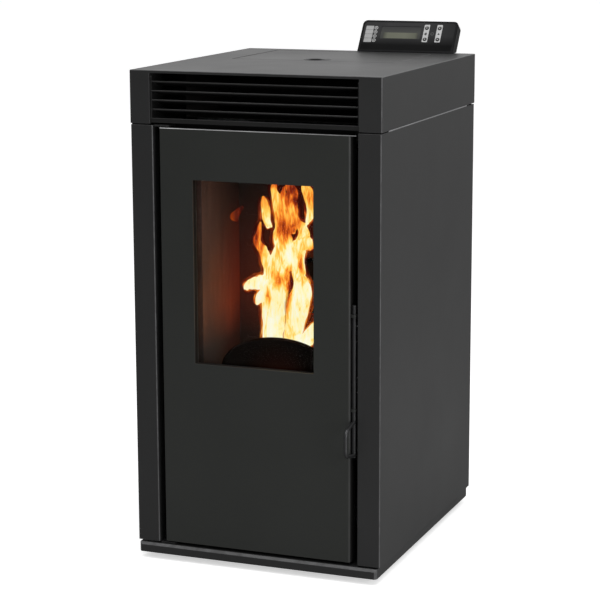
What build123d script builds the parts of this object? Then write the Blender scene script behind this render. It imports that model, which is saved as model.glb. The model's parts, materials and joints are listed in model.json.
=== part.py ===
"""Free-standing pellet stove: a tall steel casing, a glazed fire door, a louvred warm-air grille,
a top-loaded hopper with an inclined auger, and a tilted control console at the rear of the top.

Millimetres, +X to the right of someone facing the stove, -Y towards them, +Z up. The origin is on
the floor, in the middle of the whole stove. Most places are given as an x, a depth behind the
front plane of the casing, and a height above the underside of the base plate.
"""
from build123d import *
import os
from math import cos, radians, sin

# ---------------------------------------------------------------- casing
CASE_W = 454.0            # over the upper cover
CASE_D = 525.0            # front plane to rear wall
CASE_H = 850.0            # underside of the base plate to the top
FOOT_H = 12.0             # floor to the underside of the base plate
SKIN = 1.5                # casing sheet
BEND = 2.5                # outer radius of a fold in the skin
HANDLE_OUT = 40.0         # bow handle in front of the casing
FLUE_OUT = 60.0           # flue spigot behind the casing
BASE_W = 444.0
BASE_T = 17.0
BASE_PROUD = 6.0          # base plate in front of the pillars
BASE_SHEET = 2.0
BASE_BEVEL = 4.0
BASE_PAD_H = 3.0          # raised pads under the side panels
PANEL_SET = 1.0           # lower panels inside the line of the upper cover
PANEL_TOP = 757.0
PANEL_FLANGE = 16.0
PILLAR_IN = 185.0         # middle to a lower pillar's inner edge
PILLAR_RETURN = 24.0
REAR_RETURN = 20.0
COVER_BOTTOM = 759.5
GRILLE_LEFT = -190.0
GRILLE_RIGHT = 187.0
COVER_LIP = 4.5           # front edge of the top above the grille
JOGGLE_H = 14.0           # cover's inner strip above and below the split line
JOGGLE_END = 40.0

# ---------------------------------------------------------------- clearances
GAP = 0.3                 # between bodies that move past each other
FIT = 0.05                # radial, shaft in its hole
SEAT = 0.1                # between pieces that are fitted into each other

# ---------------------------------------------------------------- louvres
BLADE_N = 5
BLADE_TOP = 832.5         # front edge of the top blade
BLADE_PITCH = 15.7
BLADE_LIP = 3.2
BLADE_RUN = 27.0
BLADE_DROP = 9.0
BLADE_T = 1.4
BLADE_FRONT = 5.0
TRAY_DEPTH = 56.0
TRAY_LIP = 8.0
TRAY_BOTTOM = 761.0
CHEEK_D = 46.0

# ---------------------------------------------------------------- door
DOOR_HALF = 172.8
DOOR_BOTTOM = 23.0
DOOR_TOP = 753.0
DOOR_T = 24.0
DOOR_SKIN = 2.0
DOOR_NOSE = 5.0           # rounded opening edge
WIN_LEFT = -112.0
WIN_RIGHT = 107.0
WIN_BOTTOM = 348.0
WIN_TOP = 666.5
REVEAL = 12.0             # glass behind the door's face
GLASS_T = 4.0
GLASS_LAP = 12.0          # glass beyond the window on each side
INNER_T = 2.0             # inner door frame
INNER_HALF = 156.0
INNER_BOTTOM = 45.0
INNER_TOP = 732.0
INNER_LIP = 3.5
ROPE_R = 5.5
ROPE_HALF = 138.0         # middle of the rope seal
ROPE_BOTTOM = 60.0
ROPE_TOP = 716.0
HINGE_X = -165.0
HINGE_D = 12.0
PIN_R = 4.0
PIN_IN = 14.0             # pin inside the door
SLEEVE_R = 6.5
HINGE_T = 3.0

# ---------------------------------------------------------------- latch
ROD_X = 177.6
ROD_D = 6.0
ROD_R = 3.5
ROD_BOTTOM = 208.0
ROD_TOP = 470.0
BOW_H = 62.0              # bow grip, up from the rod's lower end
BOW_RAKE = 8.0            # its upper arm falls towards the front
BOW_BEND = 12.0
BOW_R = 3.2
LUG_T = 5.0
LUG_HEIGHTS = (290.0, 452.0)
CLAW_HEIGHTS = (330.0, 418.0)
CLAW_T = 6.0
CLAW_REACH = 26.0
CLAW_LIP = 4.0
CLAW_ARM = 3.5
SLOT_H = 12.0
SLOT_FRONT = 4.0
ROLLER_R = 2.6
ROLLER_D = 25.0
KEEPER_T = 2.0
KEEPER_GAP = 1.2          # claw lip to roller, so the claw draws past it as the bow is turned

# ---------------------------------------------------------------- firebox
BOX_HALF = 125.0
BOX_WALL = 4.0
BOX_FRONT = 31.0
BOX_BACK = 212.0
BOX_BOTTOM = 118.0
BOX_TOP = 712.0
FACE_T = 3.0              # front flange
FACE_HALF = 154.0
FACE_BOTTOM = 40.0
FACE_TOP = 735.0
FIN_N = 9
FIN_T = 3.0
FIN_H = 26.0
FIN_EDGE = 13.0           # first fin in from the firebox's side
FIN_INSET = 26.0
FIN_CROP = 10.0
LEG_X = 90.0
LEG_T = 3.0
LEG_FOOT = 12.0
HEARTH_Z = 262.0
HEARTH_T = 8.0
LEDGE_T = 4.0
LEDGE_W = 10.0
LINING_T = 9.0
LINING_TOP = 690.0
BAFFLE_T = 12.0
BAFFLE_FRONT = 78.0
POT_W = 92.0
POT_DEPTH = 72.0
POT_D = 152.0             # middle of the pot behind the front plane
POT_WALL = 5.0
POT_BOTTOM = 222.0
POT_TOP = 300.0
POT_FLANGE = 7.0
POT_FLANGE_T = 5.0
POT_HOLE_R = 2.6
GUARD_D = 98.0
GUARD_T = 11.0
GUARD_HALF = 106.0
GUARD_TOP = 381.0
GUARD_RISE = 60.0
GUARD_EDGE = 3.0
DRAWER_HALF = 112.0
DRAWER_FRONT = 36.0
DRAWER_BACK = 200.0
DRAWER_H = 74.0
DRAWER_WALL = 1.5
SMOKE_X = (-86.0, -44.0)  # smoke outlet in the rear wall
SMOKE_Z = (126.0, 176.0)

# ---------------------------------------------------------------- inner frame
FRAME_D = 214.0
FRAME_T = 2.0
FRAME_HALF = 200.0
FRAME_BACK = 505.0
FRAME_TOP = 755.0

# ---------------------------------------------------------------- hopper and lid
LID_HALF = 154.0
LID_EDGE = 8.0            # lid's front edge to the finger cup
LID_BACK = 492.0
LID_GAP = 1.5
LID_FLANGE = 10.0
LID_PIVOT_D = 479.0
LID_PIVOT_Z = 836.0
LID_PIN_R = 3.0
LID_EAR_R = 8.0
CUP_D = 305.0
CUP_X = -2.0
CUP_R = 22.0
CUP_DEPTH = 14.0
CUP_WALL = 1.5
CUP_RIM = 2.5
MOUTH_HALF = 138.0
MOUTH_SET = 8.0           # finger cup to the hopper's mouth
MOUTH_BACK = 474.0
MOUTH_TOP = 843.0
HOPPER_WALL = 1.5
HOPPER_LIP = 5.0
MOUTH_CORNER = 10.0
THROAT_CORNER = 6.0
WING_D = (360.0, 450.0)   # wings that hang the hopper on the inner frame
WING_T = 2.0
SHOULDER_Z = 640.0
THROAT_Z = 492.0
THROAT_HALF = 27.0
THROAT_FRONT = 350.0
THROAT_BACK = 414.0
GUARD_BAR = 3.0
GUARD_PITCH = 17.0

# ---------------------------------------------------------------- auger
AUGER_D = 380.0           # a point on its axis
AUGER_Z = 405.0
AUGER_TILT = 45.0
AUGER_LOW = -62.0         # tube's lower end, along the axis from that point
AUGER_HIGH = 150.0
AUGER_R = 30.0
AUGER_WALL = 2.5
SHAFT_R = 8.0
FLIGHT_R = 25.0
FLIGHT_T = 2.5
FLIGHT_PITCH = 38.0
SHAFT_IN = 16.0           # shaft inside the gearbox
GEARBOX = (66.0, 66.0, 34.0)
MOTOR_R = 27.0
MOTOR_L = 42.0
CHUTE_HALF = 34.0
CHUTE_WALL = 2.0
CHUTE_BOTTOM = 446.0
CHUTE_TOP = 592.0
CHUTE_BACK = 262.0
SPOUT_TIP = 176.0

# ---------------------------------------------------------------- exhaust fan and flue
FAN_X = (-142.0, -84.0)
FAN_SET = 4.0             # fan scroll behind the inner frame
FAN_R = 86.0
FAN_WALL = 4.0
WHEEL_R = 70.0
WHEEL_W = 30.0
WHEEL_BLADES = 12
FLUE_X = -113.0
FLUE_Z = 150.0
FLUE_R = 40.0
FLUE_WALL = 2.0
FLUE_SOCKET = 400.0       # depth where the flue meets the fan
EXH_MOTOR_R = 38.0
EXH_MOTOR_L = 44.0
SPINDLE_R = 4.0
INTAKE_X = 66.0
INTAKE_Z = 228.0
INTAKE_R = 25.0
INTAKE_WALL = 2.0
INTAKE_STEP = 0.5         # the pipe is this much slimmer from its collar inwards
INTAKE_OUT = 30.0
INTAKE_PLAY = 4.0         # round the pipe in the rear wall, under its collar
COLLAR_T = 1.5            # pipe collars against the rear wall
COLLAR_W = 12.0
IGNITER_R = 5.0
IGNITER_Z = 244.0

# ---------------------------------------------------------------- room air fan
ROOM_X = (102.0, 188.0)
ROOM_SET = 26.0           # fan drum behind the front of its duct
ROOM_R = 66.0
ROOM_Z = 96.0
ROOM_WALL = 2.0
ROOM_WHEEL_R = 50.0
ROOM_WHEEL_W = 40.0
ROOM_BLADES = 24
ROOM_INLET_R = 34.0
DUCT_SET = 2.0            # duct behind the inner frame
DUCT_T = 40.0
DUCT_WALL = 1.2
PLENUM_HALF = 150.0
PLENUM_Z = (766.0, 843.0)
PLENUM_FRONT = 62.0

# ---------------------------------------------------------------- console
CONSOLE_LEFT = -1.0
CONSOLE_W = 188.0
CONSOLE_L = 68.8          # along the slope
CONSOLE_TILT = 55.5       # face from the horizontal
CONSOLE_FOOT = 511.0
CONSOLE_T = 20.0
CONSOLE_CORNER = 9.0
FASCIA_EDGE = 4.5
FASCIA_T = 2.0
WINDOW_U = (39.0, 118.0)  # along the face from its left end
WINDOW_V = (29.0, 56.0)   # up the face from its foot
WINDOW_T = 1.2
BUTTON_R = 3.4
BUTTON_TRAVEL = 0.8
BUTTON_H = 3.2
BUTTON_U = (128.5, 153.5)
BUTTON_V = (29.0, 53.0)
SHELF_T = 1.5

# ---------------------------------------------------------------- rear fittings
REAR_SPLIT = 402.0        # seam between the two rear sheets
SLOT_L = 46.0             # cooling louvres
SLOT_W = 5.0
SLOT_RISE = 14.0
SLOT_STEP = 60.0
SLOT_ROWS = 7
SLOT_COLUMNS = 5
FAN_ROWS = 5
INLET_X = 175.0
INLET_Z = 232.0
INLET_W = 28.0
INLET_H = 50.0
ROCKER_TILT = 8.0
RESET_X = 140.0
RESET_Z = 300.0
BOARD_Z = (300.0, 440.0)
BOARD_D = (330.0, 470.0)
BOARD_OFF = 8.0           # board's face in from the frame's wing
BOARD_T = 1.6
FOOT_X = 188.0
FOOT_FRONT = 46.0
FOOT_BACK = 478.0
FOOT_R = 19.0
STUD_R = 4.0
STUD_L = 34.0
FOOT_TRAVEL = 15.0
SCREW_R = 3.6

# ---------------------------------------------------------------- derived
BOW_TOP = ROD_BOTTOM + BOW_H
BOW_D = BOW_R - HANDLE_OUT
LID_FRONT = CUP_D - CUP_R - LID_EDGE
MOUTH_FRONT = CUP_D + CUP_R + MOUTH_SET
FRAME_REAR = FRAME_D + FRAME_T
FAN_D = FRAME_REAR + FAN_SET + FAN_R
DUCT_D = (FRAME_REAR + DUCT_SET, FRAME_REAR + DUCT_SET + DUCT_T)
ROOM_D = DUCT_D[0] + ROOM_SET + ROOM_R
DEPTH_ALL = HANDLE_OUT + CASE_D + FLUE_OUT
FRONT_Y = HANDLE_OUT - DEPTH_ALL / 2
HALF = CASE_W / 2
PANEL_HALF = HALF - PANEL_SET
PANEL_BOTTOM = BASE_T + BASE_PAD_H
GLASS_FRONT = REVEAL + GAP
GLASS_BACK = GLASS_FRONT + GLASS_T
INNER_BACK = GLASS_BACK + INNER_LIP + INNER_T
FACE_FRONT = BOX_FRONT - FACE_T
POT_FRONT = POT_D - POT_DEPTH / 2
POT_BACK = POT_D + POT_DEPTH / 2
WHEEL_X = FAN_X[0] + FAN_WALL + 8.0
FAN_Z = BASE_T + FAN_R + GAP
INNER_X = BOX_HALF - BOX_WALL


def back(depth):
    """The y of a point this far behind the front plane."""
    return FRONT_Y + depth


def up(height):
    """The z of a point this far above the underside of the base plate."""
    return FOOT_H + height


def at(x, depth, height):
    """A point in the stove's frame."""
    return Vector(x, back(depth), up(height))


def block(x, depth, height):
    """A block between two x, two depths and two heights."""
    centre = at((x[0] + x[1]) / 2, (depth[0] + depth[1]) / 2, (height[0] + height[1]) / 2)
    return Pos(*centre) * Box(x[1] - x[0], depth[1] - depth[0], height[1] - height[0])


def bar(start, end, radius):
    """A round bar between two points, each an x, a depth and a height."""
    a, b = at(*start), at(*end)
    low = (Align.CENTER, Align.CENTER, Align.MIN)
    return Plane(origin=a, z_dir=b - a) * Cylinder(radius, (b - a).length, align=low)


def pipe(start, end, outer, wall):
    """A round tube between two points, open at both ends."""
    return bar(start, end, outer) - bar(start, end, outer - wall)


def plan(points, height, rounding=0.0):
    """A prism that stands between two heights on an outline of x and depth."""
    outline = Polyline(*[(x, back(d), up(height[0])) for x, d in points], close=True)
    solid = extrude(make_face(outline), amount=height[1] - height[0], dir=(0, 0, 1))
    return fillet(solid.edges().filter_by(Axis.Z), rounding) if rounding else solid


def side(points, x):
    """A prism between two x on an outline of depth and height."""
    outline = Polyline(*[(x[0], back(d), up(h)) for d, h in points], close=True)
    return extrude(make_face(outline), amount=x[1] - x[0], dir=(1, 0, 0))


def bent_plan(points, thickness, height, bend=BEND, turn=Side.LEFT):
    """A folded sheet that stands between two heights. Its outer line runs through x and depth."""
    outer = FilletPolyline(*[(x, back(d), 0) for x, d in points], radius=bend)
    section = make_face(outer.offset_2d(thickness, side=turn, closed=True).edges())
    return Pos(0, 0, up(height[0])) * extrude(section, amount=height[1] - height[0], dir=(0, 0, 1))


def bent_side(points, thickness, x, bend=BEND, turn=Side.LEFT, grow=0.0):
    """A folded sheet between two x. Its outer line runs through depth and height."""
    flat = FilletPolyline(*[(back(d), up(h), 0) for d, h in points], radius=bend)
    section = make_face(flat.offset_2d(thickness, side=turn, closed=True).edges())
    if grow:
        section = make_face(section.faces()[0].outer_wire().offset_2d(grow).edges())
    upright = Plane(origin=(x[0], 0, 0), x_dir=(0, 1, 0), z_dir=(1, 0, 0))
    return upright * extrude(section, amount=x[1] - x[0])


def ring(x, depth, height, wall, corner=0.0):
    """A rectangular ring round a window, seen from the front, with its wall outside the window."""
    inner = block(x, depth, height)
    outer = block((x[0] - wall, x[1] + wall), depth, (height[0] - wall, height[1] + wall))
    if corner:
        inner = fillet(inner.edges().filter_by(Axis.Y), corner)
        outer = fillet(outer.edges().filter_by(Axis.Y), corner + wall)
    return outer - inner


# ---------------------------------------------------------------- casing pieces
def base_plate():
    """A pressed tray, open below, with bevelled front edges, foot bosses and panel pads."""
    x, depth = (-BASE_W / 2, BASE_W / 2), (-BASE_PROUD, CASE_D - BASE_PROUD)
    plate = block(x, depth, (0, BASE_T))
    front_edges = plate.edges().group_by(Axis.Y)[0]
    plate = chamfer(front_edges.filter_by(Axis.X).sort_by(Axis.Z)[-1:] + front_edges.filter_by(Axis.Z), BASE_BEVEL)
    pocket = block((x[0] + BASE_BEVEL + BASE_SHEET, x[1] - BASE_BEVEL - BASE_SHEET),
                   (depth[0] + BASE_BEVEL + BASE_SHEET, depth[1] - BASE_SHEET), (-1, BASE_T - BASE_SHEET))
    plate -= pocket
    for foot_x, foot_d in foot_places():
        plate += bar((foot_x, foot_d, BASE_SHEET), (foot_x, foot_d, BASE_T), FOOT_R / 2)
        plate -= bar((foot_x, foot_d, -1), (foot_x, foot_d, BASE_T + 1), STUD_R + FIT)
    pad_x = PANEL_HALF - SKIN - PANEL_FLANGE / 2
    for x0 in (-pad_x, pad_x):
        for pad_d in (70.0, 262.0, 450.0):
            plate += bar((x0, pad_d, BASE_T - 1), (x0, pad_d, PANEL_BOTTOM), 5.0)
    return plate


def side_panel(hand):
    """A folded side with the front pillar, its inner return, a rear return and a bottom flange."""
    line = [(PILLAR_IN, PILLAR_RETURN), (PILLAR_IN, 0), (PANEL_HALF, 0),
            (PANEL_HALF, CASE_D), (PANEL_HALF - REAR_RETURN, CASE_D)]
    panel = bent_plan(line, SKIN, (PANEL_BOTTOM, PANEL_TOP))
    panel += block((PANEL_HALF - SKIN - PANEL_FLANGE, PANEL_HALF - SKIN / 2), (SKIN + 6, CASE_D - SKIN - 6),
                   (PANEL_BOTTOM, PANEL_BOTTOM + SKIN))
    return panel if hand > 0 else mirror(panel, about=Plane.YZ)


def top_cover():
    """The upper hood: top, sides, rear wall and the two short pillars beside the grille."""
    corners = [(-HALF, 0), (HALF, 0), (HALF, CASE_D), (-HALF, CASE_D)]
    inset = [(-HALF + SKIN, SKIN), (HALF - SKIN, SKIN), (HALF - SKIN, CASE_D - SKIN), (-HALF + SKIN, CASE_D - SKIN)]
    hood = plan(corners, (COVER_BOTTOM, CASE_H), BEND)
    hood = fillet(hood.edges().group_by(Axis.Z)[-1], 1.2)
    hood -= plan(inset, (COVER_BOTTOM - 1, CASE_H - SKIN), BEND - SKIN)
    hood -= block((GRILLE_LEFT, GRILLE_RIGHT), (-1, SKIN + 1), (COVER_BOTTOM - 1, CASE_H - COVER_LIP))
    for x0, inward in ((GRILLE_LEFT, -1), (GRILLE_RIGHT, 1)):
        edge = sorted((x0, x0 + inward * SKIN))
        hood += block(edge, (0.5, PILLAR_RETURN), (COVER_BOTTOM, CASE_H - SKIN / 2))
    hood -= block((-LID_HALF - LID_GAP, LID_HALF + LID_GAP), (LID_FRONT - LID_GAP, LID_BACK + LID_GAP),
                  (CASE_H - SKIN - 1, CASE_H + 1))
    for x0 in (-LID_HALF - LID_GAP - SKIN, LID_HALF + LID_GAP):
        hood += block((x0, x0 + SKIN), (LID_FRONT - LID_GAP, LID_BACK - 30), (CASE_H - 12, CASE_H - SKIN / 2))
    outer = PANEL_HALF - SKIN - SEAT
    for hand in (-1, 1):
        strip = sorted((hand * (outer - SKIN), hand * outer))
        weld = sorted((hand * (outer - SKIN), hand * (HALF - SKIN / 2)))
        hood += block(strip, (JOGGLE_END, CASE_D - JOGGLE_END), (COVER_BOTTOM - JOGGLE_H, COVER_BOTTOM + JOGGLE_H))
        hood += block(weld, (JOGGLE_END, CASE_D - JOGGLE_END), (COVER_BOTTOM + JOGGLE_H / 2, COVER_BOTTOM + JOGGLE_H))
    return hood


def rear_panel():
    """The rear wall in two sheets: the lower one for the pipes and the mains inlet, the upper one with louvres."""
    deep = (CASE_D - 2 * SKIN - SEAT, CASE_D - SKIN - SEAT)
    x = (8 - PANEL_HALF, PANEL_HALF - 8)
    lower = block(x, deep, (BASE_T + GAP, REAR_SPLIT))
    upper = block(x, deep, (REAR_SPLIT, PANEL_TOP - 2))
    cut = (deep[0] - 1, deep[1] + 1)
    lower -= bar((FLUE_X, cut[0], FLUE_Z), (FLUE_X, cut[1], FLUE_Z), FLUE_R + 0.5)
    lower -= bar((INTAKE_X, cut[0], INTAKE_Z), (INTAKE_X, cut[1], INTAKE_Z), INTAKE_R + INTAKE_PLAY)
    inlet_x = (INLET_X - INLET_W / 2, INLET_X + INLET_W / 2)
    lower -= block(inlet_x, cut, (INLET_Z - INLET_H / 2, INLET_Z + INLET_H / 2))
    lower -= bar((RESET_X, cut[0], RESET_Z), (RESET_X, cut[1], RESET_Z), 5.0 + SEAT)
    slot = extrude(SlotOverall(SLOT_L, SLOT_W), amount=5)
    wall = Plane(origin=at(0, cut[0], 0), x_dir=(1, 0, 0), z_dir=(0, 1, 0))
    for row in range(SLOT_ROWS):
        for column in range(SLOT_COLUMNS):
            x0 = (column - (SLOT_COLUMNS - 1) / 2) * SLOT_STEP
            upper -= wall * Pos(x0, -(REAR_SPLIT + SLOT_RISE * (row + 2)), 0) * slot
    for row in range(FAN_ROWS):
        lower -= wall * Pos(ROOM_X[0] + SLOT_L - 3, -(60 + SLOT_RISE * row), 0) * slot
    return Compound([lower, upper])


def inner_frame():
    """A folded bulkhead behind the firebox whose long side wings carry the hopper and the electrics."""
    line = [(-FRAME_HALF, FRAME_BACK), (-FRAME_HALF, FRAME_D), (FRAME_HALF, FRAME_D), (FRAME_HALF, FRAME_BACK)]
    frame = bent_plan(line, FRAME_T, (BASE_T, FRAME_TOP), 3.0)
    web = (FRAME_D - 1, FRAME_D + FRAME_T + 1)
    frame -= block((-CHUTE_HALF - GAP, CHUTE_HALF + GAP), web, (CHUTE_BOTTOM - 30, CHUTE_TOP + GAP))
    frame -= block((SMOKE_X[0] - GAP, SMOKE_X[1] + GAP), web, (SMOKE_Z[0] - GAP, SMOKE_Z[1] + GAP))
    frame -= bar((INTAKE_X, web[0], INTAKE_Z), (INTAKE_X, web[1], INTAKE_Z), INTAKE_R - INTAKE_STEP + SEAT)
    frame -= bar((0, web[0], IGNITER_Z), (0, web[1], IGNITER_Z), 12.0)
    wings = (-FRAME_HALF - 1, FRAME_HALF + 1)
    for low, high in ((500, 700), (BASE_T + 60, 250)):
        hole = block(wings, (300, 460), (low, high))
        frame -= fillet(hole.edges().filter_by(Axis.X), 20)
    return frame


# ---------------------------------------------------------------- louvred grille
def blade_line(index):
    """The outer line of one blade: a short upright lip, then a leaf that falls towards the rear."""
    top = BLADE_TOP - index * BLADE_PITCH
    return [(BLADE_FRONT, top - BLADE_LIP), (BLADE_FRONT, top), (BLADE_FRONT + BLADE_RUN, top - BLADE_DROP)]


def grille_blades():
    """Louvre blades with rolled front lips, whose ends sit in the cheeks' slots."""
    ends = (GRILLE_LEFT + SKIN + SEAT, GRILLE_RIGHT - SKIN - SEAT)
    blades = [bent_side(blade_line(i), BLADE_T, ends, bend=1.6, turn=Side.RIGHT) for i in range(BLADE_N)]
    return Compound(blades)


def grille_frame():
    """A folded tray under the louvres and a slotted cheek at each end."""
    ends = (GRILLE_LEFT + SEAT, GRILLE_RIGHT - SEAT)
    tray = bent_side([(2, TRAY_BOTTOM + TRAY_LIP), (2, TRAY_BOTTOM), (TRAY_DEPTH, TRAY_BOTTOM)], SKIN, ends, turn=Side.LEFT)
    cheek_t = SKIN + SEAT + 1.0
    for x0 in (ends[0], ends[1] - cheek_t):
        cheek = block((x0, x0 + cheek_t), (BLADE_FRONT - 2, CHEEK_D), (TRAY_BOTTOM + SKIN / 2, BLADE_TOP + 8))
        tray += fillet(cheek.edges().filter_by(Axis.X).group_by(Axis.Z)[-1], 4)
    for index in range(BLADE_N):
        slots = (GRILLE_LEFT + SKIN, GRILLE_RIGHT - SKIN)
        tray -= bent_side(blade_line(index), BLADE_T, slots, bend=1.6, turn=Side.RIGHT, grow=SEAT)
    return tray


# ---------------------------------------------------------------- door pieces
def door_panel():
    """A folded steel door with a deep window reveal, hinge sleeves, latch lugs and claw slots."""
    x, height = (-DOOR_HALF, DOOR_HALF), (DOOR_BOTTOM, DOOR_TOP)
    door = block(x, (0, DOOR_T), height)
    uprights = door.edges().filter_by(Axis.Z).group_by(Axis.Y)[0].sort_by(Axis.X)
    door = fillet(uprights[-1], DOOR_NOSE)
    door = fillet(door.edges().filter_by(Axis.Z).group_by(Axis.Y)[0].sort_by(Axis.X)[0], BEND)
    inside = block((x[0] + DOOR_SKIN, x[1] - DOOR_SKIN), (DOOR_SKIN, DOOR_T + 1), (height[0] + DOOR_SKIN, height[1] - DOOR_SKIN))
    inside = fillet(inside.edges().filter_by(Axis.Z).group_by(Axis.Y)[0].sort_by(Axis.X)[-1], DOOR_NOSE - DOOR_SKIN)
    door -= inside
    window_x, window_z = (WIN_LEFT, WIN_RIGHT), (WIN_BOTTOM, WIN_TOP)
    door += ring(window_x, (DOOR_SKIN / 2, REVEAL), window_z, DOOR_SKIN, 1.0)
    hole = block(window_x, (-1, REVEAL + 1), window_z)
    door -= fillet(hole.edges().filter_by(Axis.Y), 1.0)
    for low, high in ((DOOR_BOTTOM, DOOR_BOTTOM + PIN_IN + 3), (DOOR_TOP - PIN_IN - 3, DOOR_TOP)):
        door += bar((HINGE_X, HINGE_D, low), (HINGE_X, HINGE_D, high), SLEEVE_R)
    for low, high in ((DOOR_BOTTOM - 1, DOOR_BOTTOM + PIN_IN + 1), (DOOR_TOP - PIN_IN - 1, DOOR_TOP + 1)):
        door -= bar((HINGE_X, HINGE_D, low), (HINGE_X, HINGE_D, high), PIN_R + FIT)
    for height_mid in LUG_HEIGHTS:
        low, high = height_mid - LUG_T / 2, height_mid + LUG_T / 2
        lug = bar((ROD_X, ROD_D, low), (ROD_X, ROD_D, high), ROD_R + 1.8)
        lug += block((DOOR_HALF - 1, ROD_X), (ROD_D - 4, ROD_D + 4), (low, high))
        door += lug - bar((ROD_X, ROD_D, low - 1), (ROD_X, ROD_D, high + 1), ROD_R + FIT)
    for height_mid in CLAW_HEIGHTS:
        door -= block((DOOR_HALF - 14, DOOR_HALF + 1), (SLOT_FRONT, DOOR_T + 1), (height_mid - SLOT_H / 2, height_mid + SLOT_H / 2))
    return door


def door_frame():
    """The inner frame that clamps the glass, with a pressed lip round the window and two retainers."""
    deep = (GLASS_BACK + INNER_LIP, INNER_BACK)
    leaf = block((-INNER_HALF, INNER_HALF), deep, (INNER_BOTTOM, INNER_TOP))
    leaf = fillet(leaf.edges().filter_by(Axis.Y), 6)
    lap = GLASS_LAP - 4
    window_x, window_z = (WIN_LEFT - 3, WIN_RIGHT + 3), (WIN_BOTTOM - 3, WIN_TOP + 3)
    hole = block(window_x, (deep[0] - 1, deep[1] + 1), window_z)
    leaf -= fillet(hole.edges().filter_by(Axis.Y), 3)
    leaf += ring(window_x, (GLASS_BACK + SEAT, deep[0] + INNER_T / 2), window_z, INNER_T, 3)
    legs_x = (-INNER_HALF + 12, INNER_HALF - 12)
    for low, high in ((INNER_BOTTOM + 4, INNER_BOTTOM + 24), (WIN_BOTTOM - 60, WIN_BOTTOM - 40), (INNER_TOP - 24, INNER_TOP - 4)):
        leaf += block(legs_x, (DOOR_SKIN + SEAT, deep[0] + INNER_T / 2), (low, low + INNER_T))
    for x0 in (WIN_LEFT - lap - 8, WIN_RIGHT + lap):
        clip = block((x0, x0 + 8), (deep[0] - 1.4, deep[0]), (WIN_BOTTOM + 60, WIN_BOTTOM + 90))
        leaf += clip
    return leaf


def door_glass():
    """Clear glass-ceramic pane."""
    pane = block((WIN_LEFT - GLASS_LAP, WIN_RIGHT + GLASS_LAP), (GLASS_FRONT, GLASS_BACK), (WIN_BOTTOM - GLASS_LAP, WIN_TOP + GLASS_LAP))
    return fillet(pane.edges().filter_by(Axis.Y), 4)


def door_gasket():
    """A round rope seal on the inner frame, flattened where it is glued and where it seals."""
    corners = [(-ROPE_HALF, ROPE_BOTTOM), (ROPE_HALF, ROPE_BOTTOM), (ROPE_HALF, ROPE_TOP), (-ROPE_HALF, ROPE_TOP)]
    middle = (INNER_BACK + FACE_FRONT) / 2
    loop = FilletPolyline(*[at(x, middle, z) for x, z in corners], radius=18, close=True)
    start = Plane(origin=loop @ 0, x_dir=(0, 1, 0), z_dir=loop % 0)
    rope = sweep(start * Circle(ROPE_R), path=loop)
    band = block((-INNER_HALF, INNER_HALF), (INNER_BACK, FACE_FRONT - GAP), (INNER_BOTTOM, INNER_TOP))
    return rope & band


def door_hinge_brackets():
    """Top and bottom hinge brackets, each a folded plate with its pin."""
    edge = -PILLAR_IN + SKIN + SEAT
    lower = block((edge, HINGE_X + 9), (3, FACE_FRONT - 2), (BASE_T, BASE_T + HINGE_T))
    lower += bar((HINGE_X, HINGE_D, BASE_T), (HINGE_X, HINGE_D, DOOR_BOTTOM + PIN_IN), PIN_R)
    high = DOOR_TOP + 2.0
    upper = block((edge, HINGE_X + 9), (3, FACE_FRONT + 2), (high, high + HINGE_T))
    upper += bar((HINGE_X, HINGE_D, DOOR_TOP - PIN_IN), (HINGE_X, HINGE_D, high + HINGE_T), PIN_R)
    upper += block((-FACE_HALF - 6, HINGE_X + 9), (FACE_FRONT - 1, FACE_FRONT + 2), (FACE_TOP + SEAT, high + HINGE_T))
    return Compound([lower, upper])


def latch_handle():
    """A bent rod with a bow grip at its lower end and two hooked claws."""
    rod = bar((ROD_X, ROD_D, ROD_BOTTOM), (ROD_X, ROD_D, ROD_TOP), ROD_R)
    rake = BOW_RAKE
    low = ROD_BOTTOM + BOW_R
    bow = FilletPolyline(at(ROD_X, ROD_D, BOW_TOP), at(ROD_X, BOW_D, BOW_TOP - rake),
                         at(ROD_X, BOW_D, low + rake), at(ROD_X, ROD_D, low), radius=BOW_BEND)
    start = Plane(origin=bow @ 0, x_dir=(1, 0, 0), z_dir=bow % 0)
    rod += sweep(start * Circle(BOW_R), path=bow)
    for height in CLAW_HEIGHTS:
        low, high = height - CLAW_T / 2, height + CLAW_T / 2
        tip = ROD_D + CLAW_REACH
        hook = roller_x() - ROLLER_R - KEEPER_GAP
        arm = ROD_X - 2 * ROD_R
        rod += plan([(ROD_X - 2, ROD_D - 1), (ROD_X, ROD_D + 3), (arm + CLAW_ARM, ROD_D + 9), (arm + CLAW_ARM, tip - CLAW_LIP),
                     (hook, tip - CLAW_LIP), (hook, tip), (arm, tip), (arm, ROD_D + 8)], (low, high))
    return rod


def roller_x():
    """The x of the keeper rollers, just inside the right pillar."""
    return PILLAR_IN - KEEPER_T - 2 * SEAT - GAP - ROLLER_R


def latch_keepers():
    """A plate with a roller at each claw, on the right pillar's inner return."""
    keepers = []
    for height in CLAW_HEIGHTS:
        edge = PILLAR_IN - SEAT
        plate = block((edge - KEEPER_T, edge), (PILLAR_RETURN - 8, PILLAR_RETURN + 14), (height - 20, height + 20))
        for ear in (height - 14, height + 12):
            plate += block((roller_x() - 3.4, edge - KEEPER_T / 2), (ROLLER_D - 4, PILLAR_RETURN + 14), (ear, ear + KEEPER_T))
        plate += bar((roller_x(), ROLLER_D, height - 13), (roller_x(), ROLLER_D, height + 13), ROLLER_R)
        keepers.append(plate)
    return Compound(keepers)


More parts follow.
